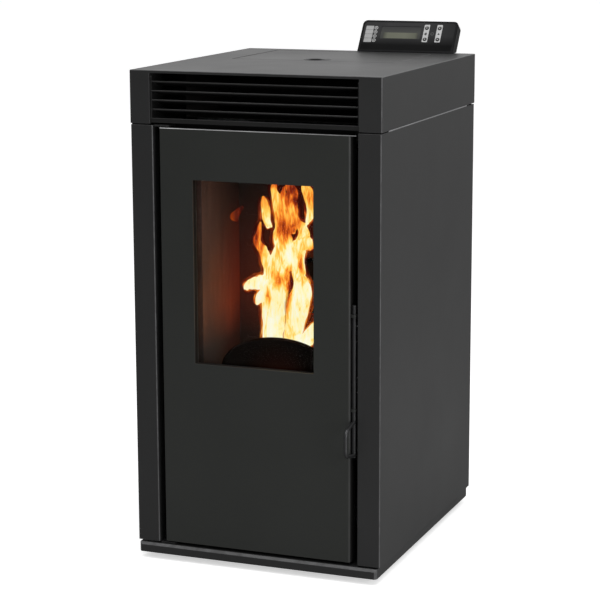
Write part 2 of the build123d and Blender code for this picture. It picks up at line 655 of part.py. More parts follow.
# ---------------------------------------------------------------- firebox pieces
def firebox():
    """A welded steel box, open at the front, with its face flange, ledges, legs and cooling fins."""
    shell = block((-BOX_HALF, BOX_HALF), (BOX_FRONT - FACE_T, BOX_BACK), (BOX_BOTTOM, BOX_TOP))
    shell += block((-FACE_HALF, FACE_HALF), (FACE_FRONT, BOX_FRONT), (FACE_BOTTOM, FACE_TOP))
    shell -= block((-INNER_X, INNER_X), (FACE_FRONT - 1, BOX_BACK - BOX_WALL), (BOX_BOTTOM + BOX_WALL, BOX_TOP - BOX_WALL))
    for x in ((-INNER_X - 1, -INNER_X + LEDGE_W), (INNER_X - LEDGE_W, INNER_X + 1)):
        shell += block(x, (BOX_FRONT + 2, BOX_BACK - BOX_WALL), (HEARTH_Z - LEDGE_T, HEARTH_Z))
    cut = (BOX_BACK - BOX_WALL - 1, BOX_BACK + 1)
    shell -= block((-CHUTE_HALF + CHUTE_WALL, CHUTE_HALF - CHUTE_WALL), cut, (CHUTE_BOTTOM - 8, CHUTE_BOTTOM + 60))
    shell -= block((SMOKE_X[0] + 3, SMOKE_X[1] - 3), cut, (SMOKE_Z[0] + 3, SMOKE_Z[1] - 3))
    shell -= bar((INTAKE_X, cut[0], INTAKE_Z), (INTAKE_X, cut[1], INTAKE_Z), INTAKE_R - 2)
    shell -= bar((0, cut[0], IGNITER_Z), (0, cut[1], IGNITER_Z), IGNITER_R + SEAT)
    return Compound([shell, firebox_fins()] + firebox_legs())


def firebox_fins():
    """A plate on top of the firebox with upright cooling fins, whose corners are cropped."""
    front, rear = BOX_FRONT + FIN_INSET, BOX_BACK - FIN_INSET / 2
    foot, top = BOX_TOP + LEG_T, BOX_TOP + FIN_H
    outline = [(front, foot), (rear, foot), (rear, top - FIN_CROP), (rear - FIN_CROP, top),
               (front + FIN_CROP, top), (front, top - FIN_CROP)]
    plate = block((FIN_EDGE - BOX_HALF, BOX_HALF - FIN_EDGE), (front, rear), (BOX_TOP, foot))
    pitch = (2 * BOX_HALF - 2 * FIN_EDGE - FIN_T) / (FIN_N - 1)
    for index in range(FIN_N):
        x0 = -BOX_HALF + FIN_EDGE + index * pitch
        plate += side(outline, (x0, x0 + FIN_T))
    return plate


def firebox_legs():
    """Two angle legs from the base plate to the firebox."""
    depth = (BOX_FRONT + FIN_INSET, BOX_BACK - FIN_INSET)
    legs = []
    for x0 in (-LEG_X, LEG_X - LEG_T):
        leg = block((x0, x0 + LEG_T), depth, (BASE_T, BOX_BOTTOM))
        legs.append(leg + block((x0 - LEG_FOOT, x0 + LEG_T + LEG_FOOT), depth, (BASE_T, BASE_T + LEG_T)))
    return legs


def firebox_linings():
    """Rear and side lining plates that stand on the hearth."""
    foot = HEARTH_Z + HEARTH_T
    rear = block((-INNER_X + SEAT, INNER_X - SEAT), (BOX_BACK - BOX_WALL - LINING_T, BOX_BACK - BOX_WALL - SEAT), (foot, LINING_TOP))
    mouth = block((-CHUTE_HALF - 2, CHUTE_HALF + 2), (BOX_BACK - BOX_WALL - LINING_T - 1, BOX_BACK), (CHUTE_BOTTOM - 40, CHUTE_BOTTOM + 64))
    rear -= mouth
    for row in range(7):
        groove_z = foot + 30 + row * 56
        if abs(groove_z - CHUTE_BOTTOM - 12) > 62:
            rear -= block((-INNER_X + 24, INNER_X - 24), (BOX_BACK - BOX_WALL - LINING_T - 1, BOX_BACK - BOX_WALL - LINING_T + 2),
                          (groove_z, groove_z + 4))
    plates = [rear]
    for x in ((-INNER_X + SEAT, -INNER_X + LINING_T), (INNER_X - LINING_T, INNER_X - SEAT)):
        plates.append(block(x, (BOX_FRONT + 6, BOX_BACK - BOX_WALL - LINING_T - SEAT), (foot, LINING_TOP)))
    return Compound(plates)


def baffle_plate():
    """A plate that lies on the linings and sends the smoke round its front edge."""
    plate = block((-INNER_X + 1, INNER_X - 1), (BAFFLE_FRONT, BOX_BACK - BOX_WALL - 1), (LINING_TOP, LINING_TOP + BAFFLE_T))
    return chamfer(plate.edges().filter_by(Axis.X).group_by(Axis.Y)[0], 3)


def hearth_plate():
    """A cast plate on the side ledges, with a seat for the pot and ash slots in front of it."""
    plate = block((-INNER_X + GAP, INNER_X - GAP), (BOX_FRONT + 3, BOX_BACK - BOX_WALL - GAP), (HEARTH_Z, HEARTH_Z + HEARTH_T))
    plate -= block((-POT_W / 2 - 1, POT_W / 2 + 1), (POT_FRONT - 1, POT_BACK + 1), (HEARTH_Z - 1, HEARTH_Z + HEARTH_T + 1))
    slot = SlotOverall(40, 9, rotation=90)
    lid = Plane(origin=at(0, 66, HEARTH_Z - 1))
    for x0 in (-90, -60, -30, 0, 30, 60, 90):
        plate -= lid * Pos(x0, 0, 0) * extrude(slot, amount=HEARTH_T + 2)
    return plate


def ember_guard():
    """A cast fender with a crowned top that stands on the hearth in front of the pot."""
    foot = HEARTH_Z + HEARTH_T
    spring = GUARD_TOP - GUARD_RISE
    wall = Plane(origin=at(0, GUARD_D + GUARD_T, 0), x_dir=(1, 0, 0), z_dir=(0, -1, 0))
    crown = wall * Pos(0, spring) * Ellipse(GUARD_HALF, GUARD_RISE)
    fender = extrude(crown, amount=GUARD_T)
    fender -= block((-HALF, HALF), (0, CASE_D), (0, spring))
    fender += block((-GUARD_HALF, GUARD_HALF), (GUARD_D, GUARD_D + GUARD_T), (foot, spring))
    crown_edges = [e for e in fender.edges() if e.geom_type == GeomType.ELLIPSE]
    fender = chamfer(crown_edges, GUARD_EDGE)
    for x0 in (-72.0, -24.0, 24.0, 72.0):
        fender += block((x0 - 4, x0 + 4), (GUARD_D - 7, GUARD_D + 1), (foot, foot + 34))
    return fender


def burn_pot():
    """A cast cup with a seating flange, a perforated floor, side air holes and an igniter hole."""
    x, depth = (-POT_W / 2, POT_W / 2), (POT_FRONT, POT_BACK)
    pot = block(x, depth, (POT_BOTTOM, POT_TOP))
    pot = fillet(pot.edges().filter_by(Axis.Z), 8)
    pot += block((x[0] - POT_FLANGE, x[1] + POT_FLANGE), (depth[0] - 2.5, depth[1] + 3.0),
                 (HEARTH_Z + HEARTH_T + GAP, HEARTH_Z + HEARTH_T + GAP + POT_FLANGE_T))
    inside = block((x[0] + POT_WALL, x[1] - POT_WALL), (depth[0] + POT_WALL, depth[1] - POT_WALL), (POT_BOTTOM + POT_WALL, POT_TOP + 1))
    pot -= fillet(inside.edges().filter_by(Axis.Z), 4)
    for x0 in (-27, -9, 9, 27):
        for d0 in (-15, 0, 15):
            pot -= bar((x0, POT_D + d0, POT_BOTTOM - 1), (x0, POT_D + d0, POT_BOTTOM + POT_WALL + 1), POT_HOLE_R)
    pot -= bar((0, POT_BACK - POT_WALL - 1, IGNITER_Z), (0, POT_BACK + 1, IGNITER_Z), IGNITER_R + 1)
    return pot


def ash_drawer():
    """A folded tray with a stiff front and a scooped grip."""
    low = BOX_BOTTOM + BOX_WALL + GAP
    tray = block((-DRAWER_HALF, DRAWER_HALF), (DRAWER_FRONT, DRAWER_BACK), (low, low + DRAWER_H))
    tray -= block((-DRAWER_HALF + DRAWER_WALL, DRAWER_HALF - DRAWER_WALL), (DRAWER_FRONT + DRAWER_WALL, DRAWER_BACK - DRAWER_WALL),
                  (low + DRAWER_WALL, low + DRAWER_H + 1))
    tray += block((-DRAWER_HALF, DRAWER_HALF), (DRAWER_FRONT, DRAWER_FRONT + 9), (low + DRAWER_H - DRAWER_WALL, low + DRAWER_H))
    grip = Plane(origin=at(0, DRAWER_FRONT - 1, low + DRAWER_H - 26), x_dir=(1, 0, 0), z_dir=(0, 1, 0))
    return tray - grip * extrude(SlotOverall(84, 22), amount=4)


# ---------------------------------------------------------------- hopper and lid pieces
def mouth_outline(shrink):
    """The hopper's outline at its shoulder."""
    middle = (MOUTH_FRONT + MOUTH_BACK) / 2
    size = (2 * (MOUTH_HALF - shrink), MOUTH_BACK - MOUTH_FRONT - 2 * shrink)
    return Plane(origin=at(0, middle, SHOULDER_Z)) * RectangleRounded(*size, MOUTH_CORNER - shrink)


def throat_outline(shrink):
    """The hopper's outline at the top of its throat."""
    middle = (THROAT_FRONT + THROAT_BACK) / 2
    size = (2 * (THROAT_HALF - shrink), THROAT_BACK - THROAT_FRONT - 2 * shrink)
    return Plane(origin=at(0, middle, THROAT_Z)) * RectangleRounded(*size, THROAT_CORNER - shrink)


def funnel_form(shrink):
    """The tapered part and the throat below it."""
    cone = loft([mouth_outline(shrink).face(), throat_outline(shrink).face()], ruled=True)
    return cone + extrude(throat_outline(shrink), amount=THROAT_Z - AUGER_Z, dir=(0, 0, -1))


def hopper():
    """A straight bin with its rim and hanging wings, welded on a funnel that is cut to the auger tube."""
    height = MOUTH_TOP - SHOULDER_Z
    lip_x = (-MOUTH_HALF - HOPPER_LIP, MOUTH_HALF + HOPPER_LIP)
    lip_d = (MOUTH_FRONT - HOPPER_LIP, MOUTH_BACK + HOPPER_LIP)
    store = extrude(mouth_outline(0.0), amount=height, dir=(0, 0, 1))
    store += block(lip_x, lip_d, (MOUTH_TOP - HOPPER_WALL, MOUTH_TOP))
    store += block((-FRAME_HALF, FRAME_HALF), WING_D, (FRAME_TOP, FRAME_TOP + WING_T))
    store -= extrude(mouth_outline(HOPPER_WALL), amount=height + 1, dir=(0, 0, 1))
    funnel = funnel_form(0.0) - funnel_form(HOPPER_WALL)
    funnel -= auger_bar(AUGER_LOW - 60, AUGER_HIGH + 60, AUGER_R + SEAT)
    return Compound([store, funnel.solids().sort_by(SortBy.VOLUME)[-1]])


def hopper_guard():
    """A finger guard of round-cornered slots across the hopper."""
    gap = 0.5
    inset = HOPPER_WALL + gap
    plate = block((-MOUTH_HALF + inset, MOUTH_HALF - inset), (MOUTH_FRONT + inset, MOUTH_BACK - inset), (SHOULDER_Z + 1, SHOULDER_Z + 3))
    plate = fillet(plate.edges().filter_by(Axis.Z), 8)
    slot = extrude(SlotOverall(118, GUARD_PITCH - GUARD_BAR, rotation=90), amount=6)
    count = int((2 * MOUTH_HALF - 30) // GUARD_PITCH)
    for index in range(count):
        x0 = (index - (count - 1) / 2) * GUARD_PITCH
        plate -= Pos(*at(x0, (MOUTH_FRONT + MOUTH_BACK) / 2, SHOULDER_Z - 1)) * slot
    return plate


def hopper_seal():
    """A soft strip round the mouth that the lid closes on."""
    width = 8.0
    high = (MOUTH_TOP, CASE_H - SKIN - GAP)
    outer = block((-MOUTH_HALF - HOPPER_LIP, MOUTH_HALF + HOPPER_LIP), (MOUTH_FRONT - HOPPER_LIP, MOUTH_BACK + HOPPER_LIP), high)
    inner = block((-MOUTH_HALF - HOPPER_LIP + width, MOUTH_HALF + HOPPER_LIP - width),
                  (MOUTH_FRONT - HOPPER_LIP + width, MOUTH_BACK + HOPPER_LIP - width), (high[0] - 1, high[1] + 1))
    return outer - inner


def hopper_lid():
    """A pressed lid, flush with the top, with a turned-down edge, two pivot ears and the cup's hole."""
    x, depth = (-LID_HALF, LID_HALF), (LID_FRONT, LID_BACK)
    lid = block(x, depth, (CASE_H - SKIN - LID_FLANGE, CASE_H))
    lid = fillet(lid.edges().filter_by(Axis.Z), 3)
    lid = fillet(lid.edges().group_by(Axis.Z)[-1], BEND)
    inside = block((x[0] + SKIN, x[1] - SKIN), (depth[0] + SKIN, depth[1] - SKIN), (CASE_H - SKIN - LID_FLANGE - 1, CASE_H - SKIN))
    lid -= fillet(inside.edges().filter_by(Axis.Z), 1.5)
    lid -= bar((CUP_X, CUP_D, CASE_H - SKIN - 1), (CUP_X, CUP_D, CASE_H + 1), CUP_R + SEAT)
    for x0, x1 in ((-LID_HALF, -LID_HALF + SKIN), (LID_HALF - SKIN, LID_HALF)):
        ear = bar((x0, LID_PIVOT_D, LID_PIVOT_Z), (x1, LID_PIVOT_D, LID_PIVOT_Z), LID_EAR_R)
        ear += block((x0, x1), (LID_PIVOT_D - LID_EAR_R, LID_PIVOT_D + LID_EAR_R - 1), (LID_PIVOT_Z, CASE_H - LID_FLANGE + 2))
        lid += ear
        lid -= bar((x0 - 1, LID_PIVOT_D, LID_PIVOT_Z), (x1 + 1, LID_PIVOT_D, LID_PIVOT_Z), LID_PIN_R + FIT)
    return lid


def lid_finger_cup():
    """A pressed cup with a rolled rim, half covered by a curved tongue that the finger pulls on."""
    top, low = CASE_H, CASE_H - CUP_DEPTH
    cup = bar((CUP_X, CUP_D, low), (CUP_X, CUP_D, top + 0.6), CUP_R)
    cup += bar((CUP_X, CUP_D, top), (CUP_X, CUP_D, top + 0.6), CUP_R + CUP_RIM)
    cup -= bar((CUP_X, CUP_D, low + CUP_WALL), (CUP_X, CUP_D, top + 2), CUP_R - CUP_WALL)
    tongue = bar((CUP_X, CUP_D, top - 1.2), (CUP_X, CUP_D, top + 0.6), CUP_R - CUP_WALL / 2)
    tongue -= bar((CUP_X - 6, CUP_D - 13, top - 2), (CUP_X - 6, CUP_D - 13, top + 2), CUP_R - 2)
    front = block((CUP_X - CUP_R, CUP_X + CUP_R), (CUP_D - CUP_R, CUP_D - 2), (top - 3, top + 3))
    return cup + (tongue - front)


def lid_hinge_brackets():
    """A bent bracket with a pivot pin on each side of the hopper."""
    brackets = []
    for hand in (-1, 1):
        x = sorted((hand * (MOUTH_HALF + SEAT), hand * (MOUTH_HALF + 10)))
        outer = sorted((hand * (MOUTH_HALF + 8), hand * (MOUTH_HALF + 10)))
        plate = block(x, (LID_PIVOT_D - 30, LID_PIVOT_D - 12), (812, 814))
        plate += side([(LID_PIVOT_D - 30, 812), (LID_PIVOT_D - 12, 812), (LID_PIVOT_D + 4, LID_PIVOT_Z - 5),
                       (LID_PIVOT_D + 4, LID_PIVOT_Z + 3), (LID_PIVOT_D - 12, LID_PIVOT_Z + 3), (LID_PIVOT_D - 30, 822)], outer)
        plate += bar((hand * (MOUTH_HALF + 8), LID_PIVOT_D, LID_PIVOT_Z), (hand * (LID_HALF - 0.2), LID_PIVOT_D, LID_PIVOT_Z), LID_PIN_R)
        brackets.append(plate)
    return Compound(brackets)


# ---------------------------------------------------------------- auger pieces
def auger_point(along):
    """A point on the auger's axis, as an x, a depth and a height. The axis rises towards the front."""
    return (0, AUGER_D - along * cos(radians(AUGER_TILT)), AUGER_Z + along * sin(radians(AUGER_TILT)))


def auger_bar(low, high, radius):
    """A round bar on the auger's axis."""
    return bar(auger_point(low), auger_point(high), radius)


def auger_tube():
    """The feed tube, with a closed lower end, a pellet opening under the throat and an end flange."""
    tube = auger_bar(AUGER_LOW, AUGER_HIGH, AUGER_R)
    tube += auger_bar(AUGER_LOW, AUGER_LOW + 4, AUGER_R + 8)
    tube -= auger_bar(AUGER_LOW + 4, AUGER_HIGH + 1, AUGER_R - AUGER_WALL)
    tube -= auger_bar(AUGER_LOW - 1, AUGER_LOW + 5, SHAFT_R + FIT)
    wall = HOPPER_WALL + 1
    tube -= block((-THROAT_HALF + wall, THROAT_HALF - wall), (THROAT_FRONT + wall, THROAT_BACK - wall), (AUGER_Z, THROAT_Z))
    tube -= block((-HALF, HALF), (0, CHUTE_BACK + SEAT), (0, CASE_H))
    return tube


def auger_screw():
    """A shaft with a helical flight of several turns."""
    low, high = AUGER_LOW + 8, AUGER_HIGH - 26
    start = Plane(origin=at(*auger_point(low)), x_dir=(1, 0, 0), z_dir=at(*auger_point(high)) - at(*auger_point(low)))
    length = high - low
    helix = Helix(pitch=FLIGHT_PITCH, height=length, radius=(SHAFT_R + FLIGHT_R) / 2)
    blade = FLIGHT_R - SHAFT_R + 1.6
    section = Plane(origin=helix @ 0, x_dir=(1, 0, 0), z_dir=helix % 0) * Pos(-0.8, 0) * Rectangle(blade, FLIGHT_T)
    flight = sweep(section, path=helix, is_frenet=True)
    screw = start * flight
    return screw + auger_bar(AUGER_LOW - SHAFT_IN, high + 4, SHAFT_R)


def auger_gearmotor():
    """A gearbox with rounded corners and a finned motor can behind the tube's lower end."""
    axis = Plane(origin=at(*auger_point(AUGER_LOW - SEAT)), x_dir=(1, 0, 0), z_dir=at(*auger_point(-100)) - at(*auger_point(0)))
    gearbox = axis * Pos(0, 0, GEARBOX[2] / 2) * Box(*GEARBOX)
    gearbox = fillet(gearbox.edges().filter_by(lambda e: abs((e % 0).dot(axis.z_dir)) > 0.99), 8)
    gearbox += axis * Pos(0, 0, GEARBOX[2] + MOTOR_L / 2) * Cylinder(MOTOR_R, MOTOR_L)
    for index in range(4):
        gearbox += axis * Pos(0, 0, GEARBOX[2] + 7 + index * 9) * Cylinder(MOTOR_R + 2, 3)
    return gearbox - auger_bar(AUGER_LOW - SHAFT_IN - GAP, AUGER_LOW, SHAFT_R + FIT)


def pellet_chute():
    """A drop box behind the firebox with a sloped spout that ends above the pot."""
    x = (-CHUTE_HALF, CHUTE_HALF)
    wall = CHUTE_WALL
    outer = [(BOX_BACK + SEAT, CHUTE_BOTTOM - 4), (CHUTE_BACK, CHUTE_BOTTOM + 46), (CHUTE_BACK, CHUTE_TOP), (BOX_BACK + SEAT, CHUTE_TOP)]
    inner = [(BOX_BACK + 3, CHUTE_BOTTOM + 4), (CHUTE_BACK - wall, CHUTE_BOTTOM + 49), (CHUTE_BACK - wall, CHUTE_TOP - wall),
             (BOX_BACK + 3, CHUTE_TOP - wall)]
    box = side(outer, x) - side(inner, (x[0] + wall, x[1] - wall))
    box -= auger_bar(AUGER_HIGH - 90, AUGER_HIGH + 30, AUGER_R - AUGER_WALL)
    box -= block((x[0] + wall, x[1] - wall), (BOX_BACK - 1, BOX_BACK + 4), (CHUTE_BOTTOM, CHUTE_BOTTOM + 60))
    spout = side([(SPOUT_TIP, CHUTE_BOTTOM - 34), (BOX_BACK + 2, CHUTE_BOTTOM), (BOX_BACK + 2, CHUTE_BOTTOM + 3), (SPOUT_TIP, CHUTE_BOTTOM - 31)],
                 (x[0] + wall + 1, x[1] - wall - 1))
    for x0 in (x[0] + wall + 1, x[1] - wall - 3):
        spout += side([(SPOUT_TIP, CHUTE_BOTTOM - 34), (BOX_BACK + 2, CHUTE_BOTTOM), (BOX_BACK + 2, CHUTE_BOTTOM + 26), (SPOUT_TIP, CHUTE_BOTTOM - 8)],
                      (x0, x0 + 2))
    return box + spout


# ---------------------------------------------------------------- exhaust fan and pipes
def scroll(x, radius, depth, height, outlet):
    """A fan scroll between two x: a round drum with an outlet box between two depths and two heights."""
    drum = bar((x[0], depth, height), (x[1], depth, height), radius)
    return drum + block(x, outlet[0], outlet[1])


def exhaust_fan_housing():
    """A scroll housing with a square smoke inlet to the firebox and an outlet to the flue."""
    flue = (FLUE_Z - FLUE_R - 2, FLUE_Z + FLUE_R + 2)
    body = scroll(FAN_X, FAN_R, FAN_D, FAN_Z, ((FAN_D, FLUE_SOCKET), flue))
    hollow = (FAN_X[0] + FAN_WALL, FAN_X[1] - FAN_WALL)
    wall = FAN_WALL
    body += block((SMOKE_X[0], SMOKE_X[1]), (BOX_BACK + SEAT, FAN_D + 40), SMOKE_Z)
    body -= scroll(hollow, FAN_R - wall, FAN_D, FAN_Z, ((FAN_D, FLUE_SOCKET - wall), (flue[0] + wall, flue[1] - wall)))
    body -= block((FAN_X[1] - wall - 1, SMOKE_X[1] - wall), (FAN_D - 20, FAN_D + 40 - wall), (SMOKE_Z[0] + wall, SMOKE_Z[1] - wall))
    body -= block((FAN_X[1] + 1, SMOKE_X[1] - wall), (BOX_BACK, FAN_D + 40 - wall), (SMOKE_Z[0] + wall, SMOKE_Z[1] - wall))
    body -= bar((FLUE_X, FLUE_SOCKET - wall - 1, FLUE_Z), (FLUE_X, FLUE_SOCKET + 1, FLUE_Z), FLUE_R - FLUE_WALL)
    body -= bar((FAN_X[0] - 1, FAN_D, FAN_Z), (FAN_X[0] + wall + 1, FAN_D, FAN_Z), SPINDLE_R + FIT)
    body += block((FAN_X[0] + 8, FAN_X[1] - 8), (FAN_D - 30, FAN_D + 30), (BASE_T, BASE_T + 8))
    body -= bar((hollow[0], FAN_D, FAN_Z), (hollow[1], FAN_D, FAN_Z), FAN_R - wall)
    return body


def exhaust_impeller():
    """A back plate, a hub and curved paddles on a spindle that runs into the motor."""
    wheel = bar((WHEEL_X, FAN_D, FAN_Z), (WHEEL_X + 2, FAN_D, FAN_Z), WHEEL_R)
    wheel += bar((WHEEL_X, FAN_D, FAN_Z), (WHEEL_X + WHEEL_W - 6, FAN_D, FAN_Z), 14)
    hub = Plane(origin=at(WHEEL_X + 1, FAN_D, FAN_Z), x_dir=(0, 1, 0), z_dir=(1, 0, 0))
    inner, outer = Vector(12, 0), Vector(WHEEL_R - 2, 0)
    bow = ThreePointArc(inner, Vector((inner.X + outer.X) / 2, -9), outer)
    paddle = extrude(make_face(bow.offset_2d(1.6, side=Side.LEFT, closed=True).edges()), amount=WHEEL_W)
    for index in range(WHEEL_BLADES):
        wheel += hub * Rot(0, 0, index * 360 / WHEEL_BLADES) * paddle
    return wheel + bar((FAN_X[0] - 24, FAN_D, FAN_Z), (WHEEL_X + 1, FAN_D, FAN_Z), SPINDLE_R)


def exhaust_fan_motor():
    """A motor can with cooling vanes on the side of the exhaust fan."""
    face = FAN_X[0] - SEAT
    can = bar((face - EXH_MOTOR_L, FAN_D, FAN_Z), (face, FAN_D, FAN_Z), EXH_MOTOR_R)
    can = fillet(can.edges().group_by(Axis.X)[0], 6)
    can += bar((face - 6, FAN_D, FAN_Z), (face, FAN_D, FAN_Z), EXH_MOTOR_R + 8)
    return can - bar((face - 26, FAN_D, FAN_Z), (face + 1, FAN_D, FAN_Z), SPINDLE_R + FIT)


def flue_outlet():
    """The flue spigot, from the fan to behind the casing, with a wall collar."""
    tube = bar((FLUE_X, FLUE_SOCKET + SEAT, FLUE_Z), (FLUE_X, CASE_D + FLUE_OUT, FLUE_Z), FLUE_R)
    tube += bar((FLUE_X, FLUE_SOCKET + SEAT, FLUE_Z), (FLUE_X, FLUE_SOCKET + 4, FLUE_Z), FLUE_R + 6)
    tube += bar((FLUE_X, CASE_D - SKIN - SEAT, FLUE_Z), (FLUE_X, CASE_D + COLLAR_T, FLUE_Z), FLUE_R + COLLAR_W)
    return tube - bar((FLUE_X, FLUE_SOCKET, FLUE_Z), (FLUE_X, CASE_D + FLUE_OUT + 1, FLUE_Z), FLUE_R - FLUE_WALL)


def air_intake_pipe():
    """The combustion air pipe, from behind the casing to the firebox, and its collar on the rear wall."""
    start, end = (INTAKE_X, BOX_BACK + SEAT, INTAKE_Z), (INTAKE_X, CASE_D + INTAKE_OUT, INTAKE_Z)
    wall, rim = (INTAKE_X, CASE_D - SKIN - SEAT, INTAKE_Z), (INTAKE_X, CASE_D + COLLAR_T, INTAKE_Z)
    tube = bar(start, rim, INTAKE_R - INTAKE_STEP) + bar(rim, end, INTAKE_R)
    tube -= bar(start, end, INTAKE_R - INTAKE_WALL)
    return Compound([tube, pipe(wall, rim, INTAKE_R + COLLAR_W, COLLAR_W + INTAKE_STEP)])


def igniter():
    """A cartridge heater with a hexagonal boss on the firebox's rear wall."""
    rod = bar((0, POT_BACK + 2, IGNITER_Z), (0, BOX_BACK + 34, IGNITER_Z), IGNITER_R)
    boss = Plane(origin=at(0, BOX_BACK + SEAT, IGNITER_Z), z_dir=(0, 1, 0)) * RegularPolygon(9, 6)
    return rod + extrude(boss, amount=10)


# ---------------------------------------------------------------- room air fan
def room_fan_housing():
    """A sheet scroll on the base with an inlet ring on its left side and an outlet to the duct."""
    outlet = (DUCT_D, (ROOM_Z, 162.0))
    body = scroll(ROOM_X, ROOM_R, ROOM_D, ROOM_Z, ((DUCT_D[0], ROOM_D), (ROOM_Z, ROOM_Z + ROOM_R)))
    wall = ROOM_WALL
    hollow = (ROOM_X[0] + wall, ROOM_X[1] - wall)
    body -= scroll(hollow, ROOM_R - wall, ROOM_D, ROOM_Z, ((DUCT_D[0] + wall, ROOM_D), (ROOM_Z + wall, ROOM_Z + ROOM_R - wall)))
    body -= block((ROOM_X[0] + wall, ROOM_X[1] - wall), (DUCT_D[0] + wall, DUCT_D[1] - wall), (outlet[1][0] + 10, outlet[1][1] + 2))
    body -= bar((ROOM_X[0] - 1, ROOM_D, ROOM_Z), (ROOM_X[0] + wall + 1, ROOM_D, ROOM_Z), ROOM_INLET_R)
    body -= bar((ROOM_X[1] - wall - 1, ROOM_D, ROOM_Z), (ROOM_X[1] + 1, ROOM_D, ROOM_Z), SPINDLE_R + FIT)
    for d0 in (ROOM_D - 40, ROOM_D + 30):
        foot = block((ROOM_X[0] + 6, ROOM_X[1] - 6), (d0, d0 + 10), (BASE_T, ROOM_Z - 40))
        body += foot - bar((ROOM_X[0], ROOM_D, ROOM_Z), (ROOM_X[1], ROOM_D, ROOM_Z), ROOM_R - wall / 2)
    return body


def room_fan_wheel():
    """A squirrel-cage wheel: a disc, an end ring and forward-curved blades on a spindle."""
    x0 = ROOM_X[0] + ROOM_WALL + 16
    x1 = x0 + ROOM_WHEEL_W
    disc = bar((x1 - 2, ROOM_D, ROOM_Z), (x1, ROOM_D, ROOM_Z), ROOM_WHEEL_R)
    ring_end = pipe((x0, ROOM_D, ROOM_Z), (x0 + 2, ROOM_D, ROOM_Z), ROOM_WHEEL_R, 12)
    wheel = disc + ring_end
    hub = Plane(origin=at(x0 + 1, ROOM_D, ROOM_Z), x_dir=(0, 1, 0), z_dir=(1, 0, 0))
    bow = ThreePointArc(Vector(ROOM_WHEEL_R - 11, 0), Vector(ROOM_WHEEL_R - 5, -2), Vector(ROOM_WHEEL_R - 1, 2))
    blade = extrude(make_face(bow.offset_2d(1.2, side=Side.LEFT, closed=True).edges()), amount=ROOM_WHEEL_W - 2)
    for index in range(ROOM_BLADES):
        wheel += hub * Rot(0, 0, index * 360 / ROOM_BLADES) * blade
    return wheel + bar((x1 - 2, ROOM_D, ROOM_Z), (ROOM_X[1] - ROOM_WALL - 1, ROOM_D, ROOM_Z), SPINDLE_R)


def room_fan_motor():
    """A flat motor inside the housing's right side, whose bore holds the wheel's spindle."""
    x0 = ROOM_X[0] + ROOM_WALL + 16 + ROOM_WHEEL_W + 4
    x1 = ROOM_X[1] - ROOM_WALL - SEAT
    can = bar((x0, ROOM_D, ROOM_Z), (x1, ROOM_D, ROOM_Z), 30)
    can = fillet(can.edges().group_by(Axis.X)[0], 4)
    return can - bar((x0 - 1, ROOM_D, ROOM_Z), (x1 - 0.5, ROOM_D, ROOM_Z), SPINDLE_R + FIT)


def air_duct():
    """A flat riser from the room air fan and a wide plenum that opens behind the grille."""
    low = ROOM_Z + ROOM_R + SEAT
    wall = DUCT_WALL
    riser = block(ROOM_X, DUCT_D, (low, PLENUM_Z[0] + 10))
    plenum = block((-PLENUM_HALF, ROOM_X[1]), (PLENUM_FRONT, DUCT_D[1]), PLENUM_Z)
    duct = riser + plenum
    duct -= block((ROOM_X[0] + wall, ROOM_X[1] - wall), (DUCT_D[0] + wall, DUCT_D[1] - wall), (low - 1, PLENUM_Z[0] + 20))
    duct -= block((-PLENUM_HALF + wall, ROOM_X[1] - wall), (PLENUM_FRONT - 1, DUCT_D[1] - wall), (PLENUM_Z[0] + wall, PLENUM_Z[1] - wall))
    return duct


# ---------------------------------------------------------------- console pieces
def console_plane(off=0.0):
    """The plane of the console's face: its x axis runs right and its y axis up the slope."""
    tilt = radians(CONSOLE_TILT)
    foot = at(CONSOLE_LEFT, CONSOLE_FOOT, CASE_H + SEAT)
    normal = Vector(0, -sin(tilt), cos(tilt))
    return Plane(origin=foot + normal * off, x_dir=(1, 0, 0), z_dir=normal)


def console_sheet(inset, corner, low=None):
    """The console face's outline, set in from its edge, with rounded top corners."""
    foot = inset if low is None else low
    sketch = Pos(CONSOLE_W / 2, (CONSOLE_L - inset + foot) / 2) * Rectangle(CONSOLE_W - 2 * inset, CONSOLE_L - inset - foot)
    return fillet(sketch.vertices().group_by(Axis.Y)[-1], corner)


def display_housing():
    """A tilted moulded housing that stands on the top, with pockets for the fascia, buttons and window."""
    body = console_plane(-CONSOLE_T) * extrude(console_sheet(0, CONSOLE_CORNER, low=-12), amount=CONSOLE_T)
    body -= block((-HALF, HALF), (CASE_D / 2, CASE_D * 2), (CASE_H - 60, CASE_H + SEAT))
    rim = body.edges().filter_by(lambda e: abs((e.center() - console_plane().origin).dot(console_plane().z_dir)) < 0.01)
    body = chamfer(rim, 1.0)
    body -= console_plane(-FASCIA_T) * extrude(console_sheet(FASCIA_EDGE, CONSOLE_CORNER - FASCIA_EDGE / 2), amount=FASCIA_T + 1)
    for u, v in button_places():
        body -= console_plane(-FASCIA_T - BUTTON_H) * Pos(u, v) * extrude(Circle(BUTTON_R + 0.5), amount=BUTTON_H + 1)
    return body


def display_fascia():
    """The console's face plate, with holes for the buttons and a step for the window."""
    off = FASCIA_T - SEAT
    plate = console_plane(-FASCIA_T) * extrude(console_sheet(FASCIA_EDGE + SEAT, CONSOLE_CORNER - FASCIA_EDGE / 2 - SEAT), amount=off)
    for u, v in button_places():
        plate -= console_plane(-FASCIA_T - 1) * Pos(u, v) * extrude(Circle(BUTTON_R + 0.3), amount=FASCIA_T + 2)
    pocket = Pos((WINDOW_U[0] + WINDOW_U[1]) / 2, (WINDOW_V[0] + WINDOW_V[1]) / 2) * RectangleRounded(
        WINDOW_U[1] - WINDOW_U[0], WINDOW_V[1] - WINDOW_V[0], 2)
    return plate - console_plane(-FASCIA_T - 1) * extrude(pocket, amount=FASCIA_T + 2)


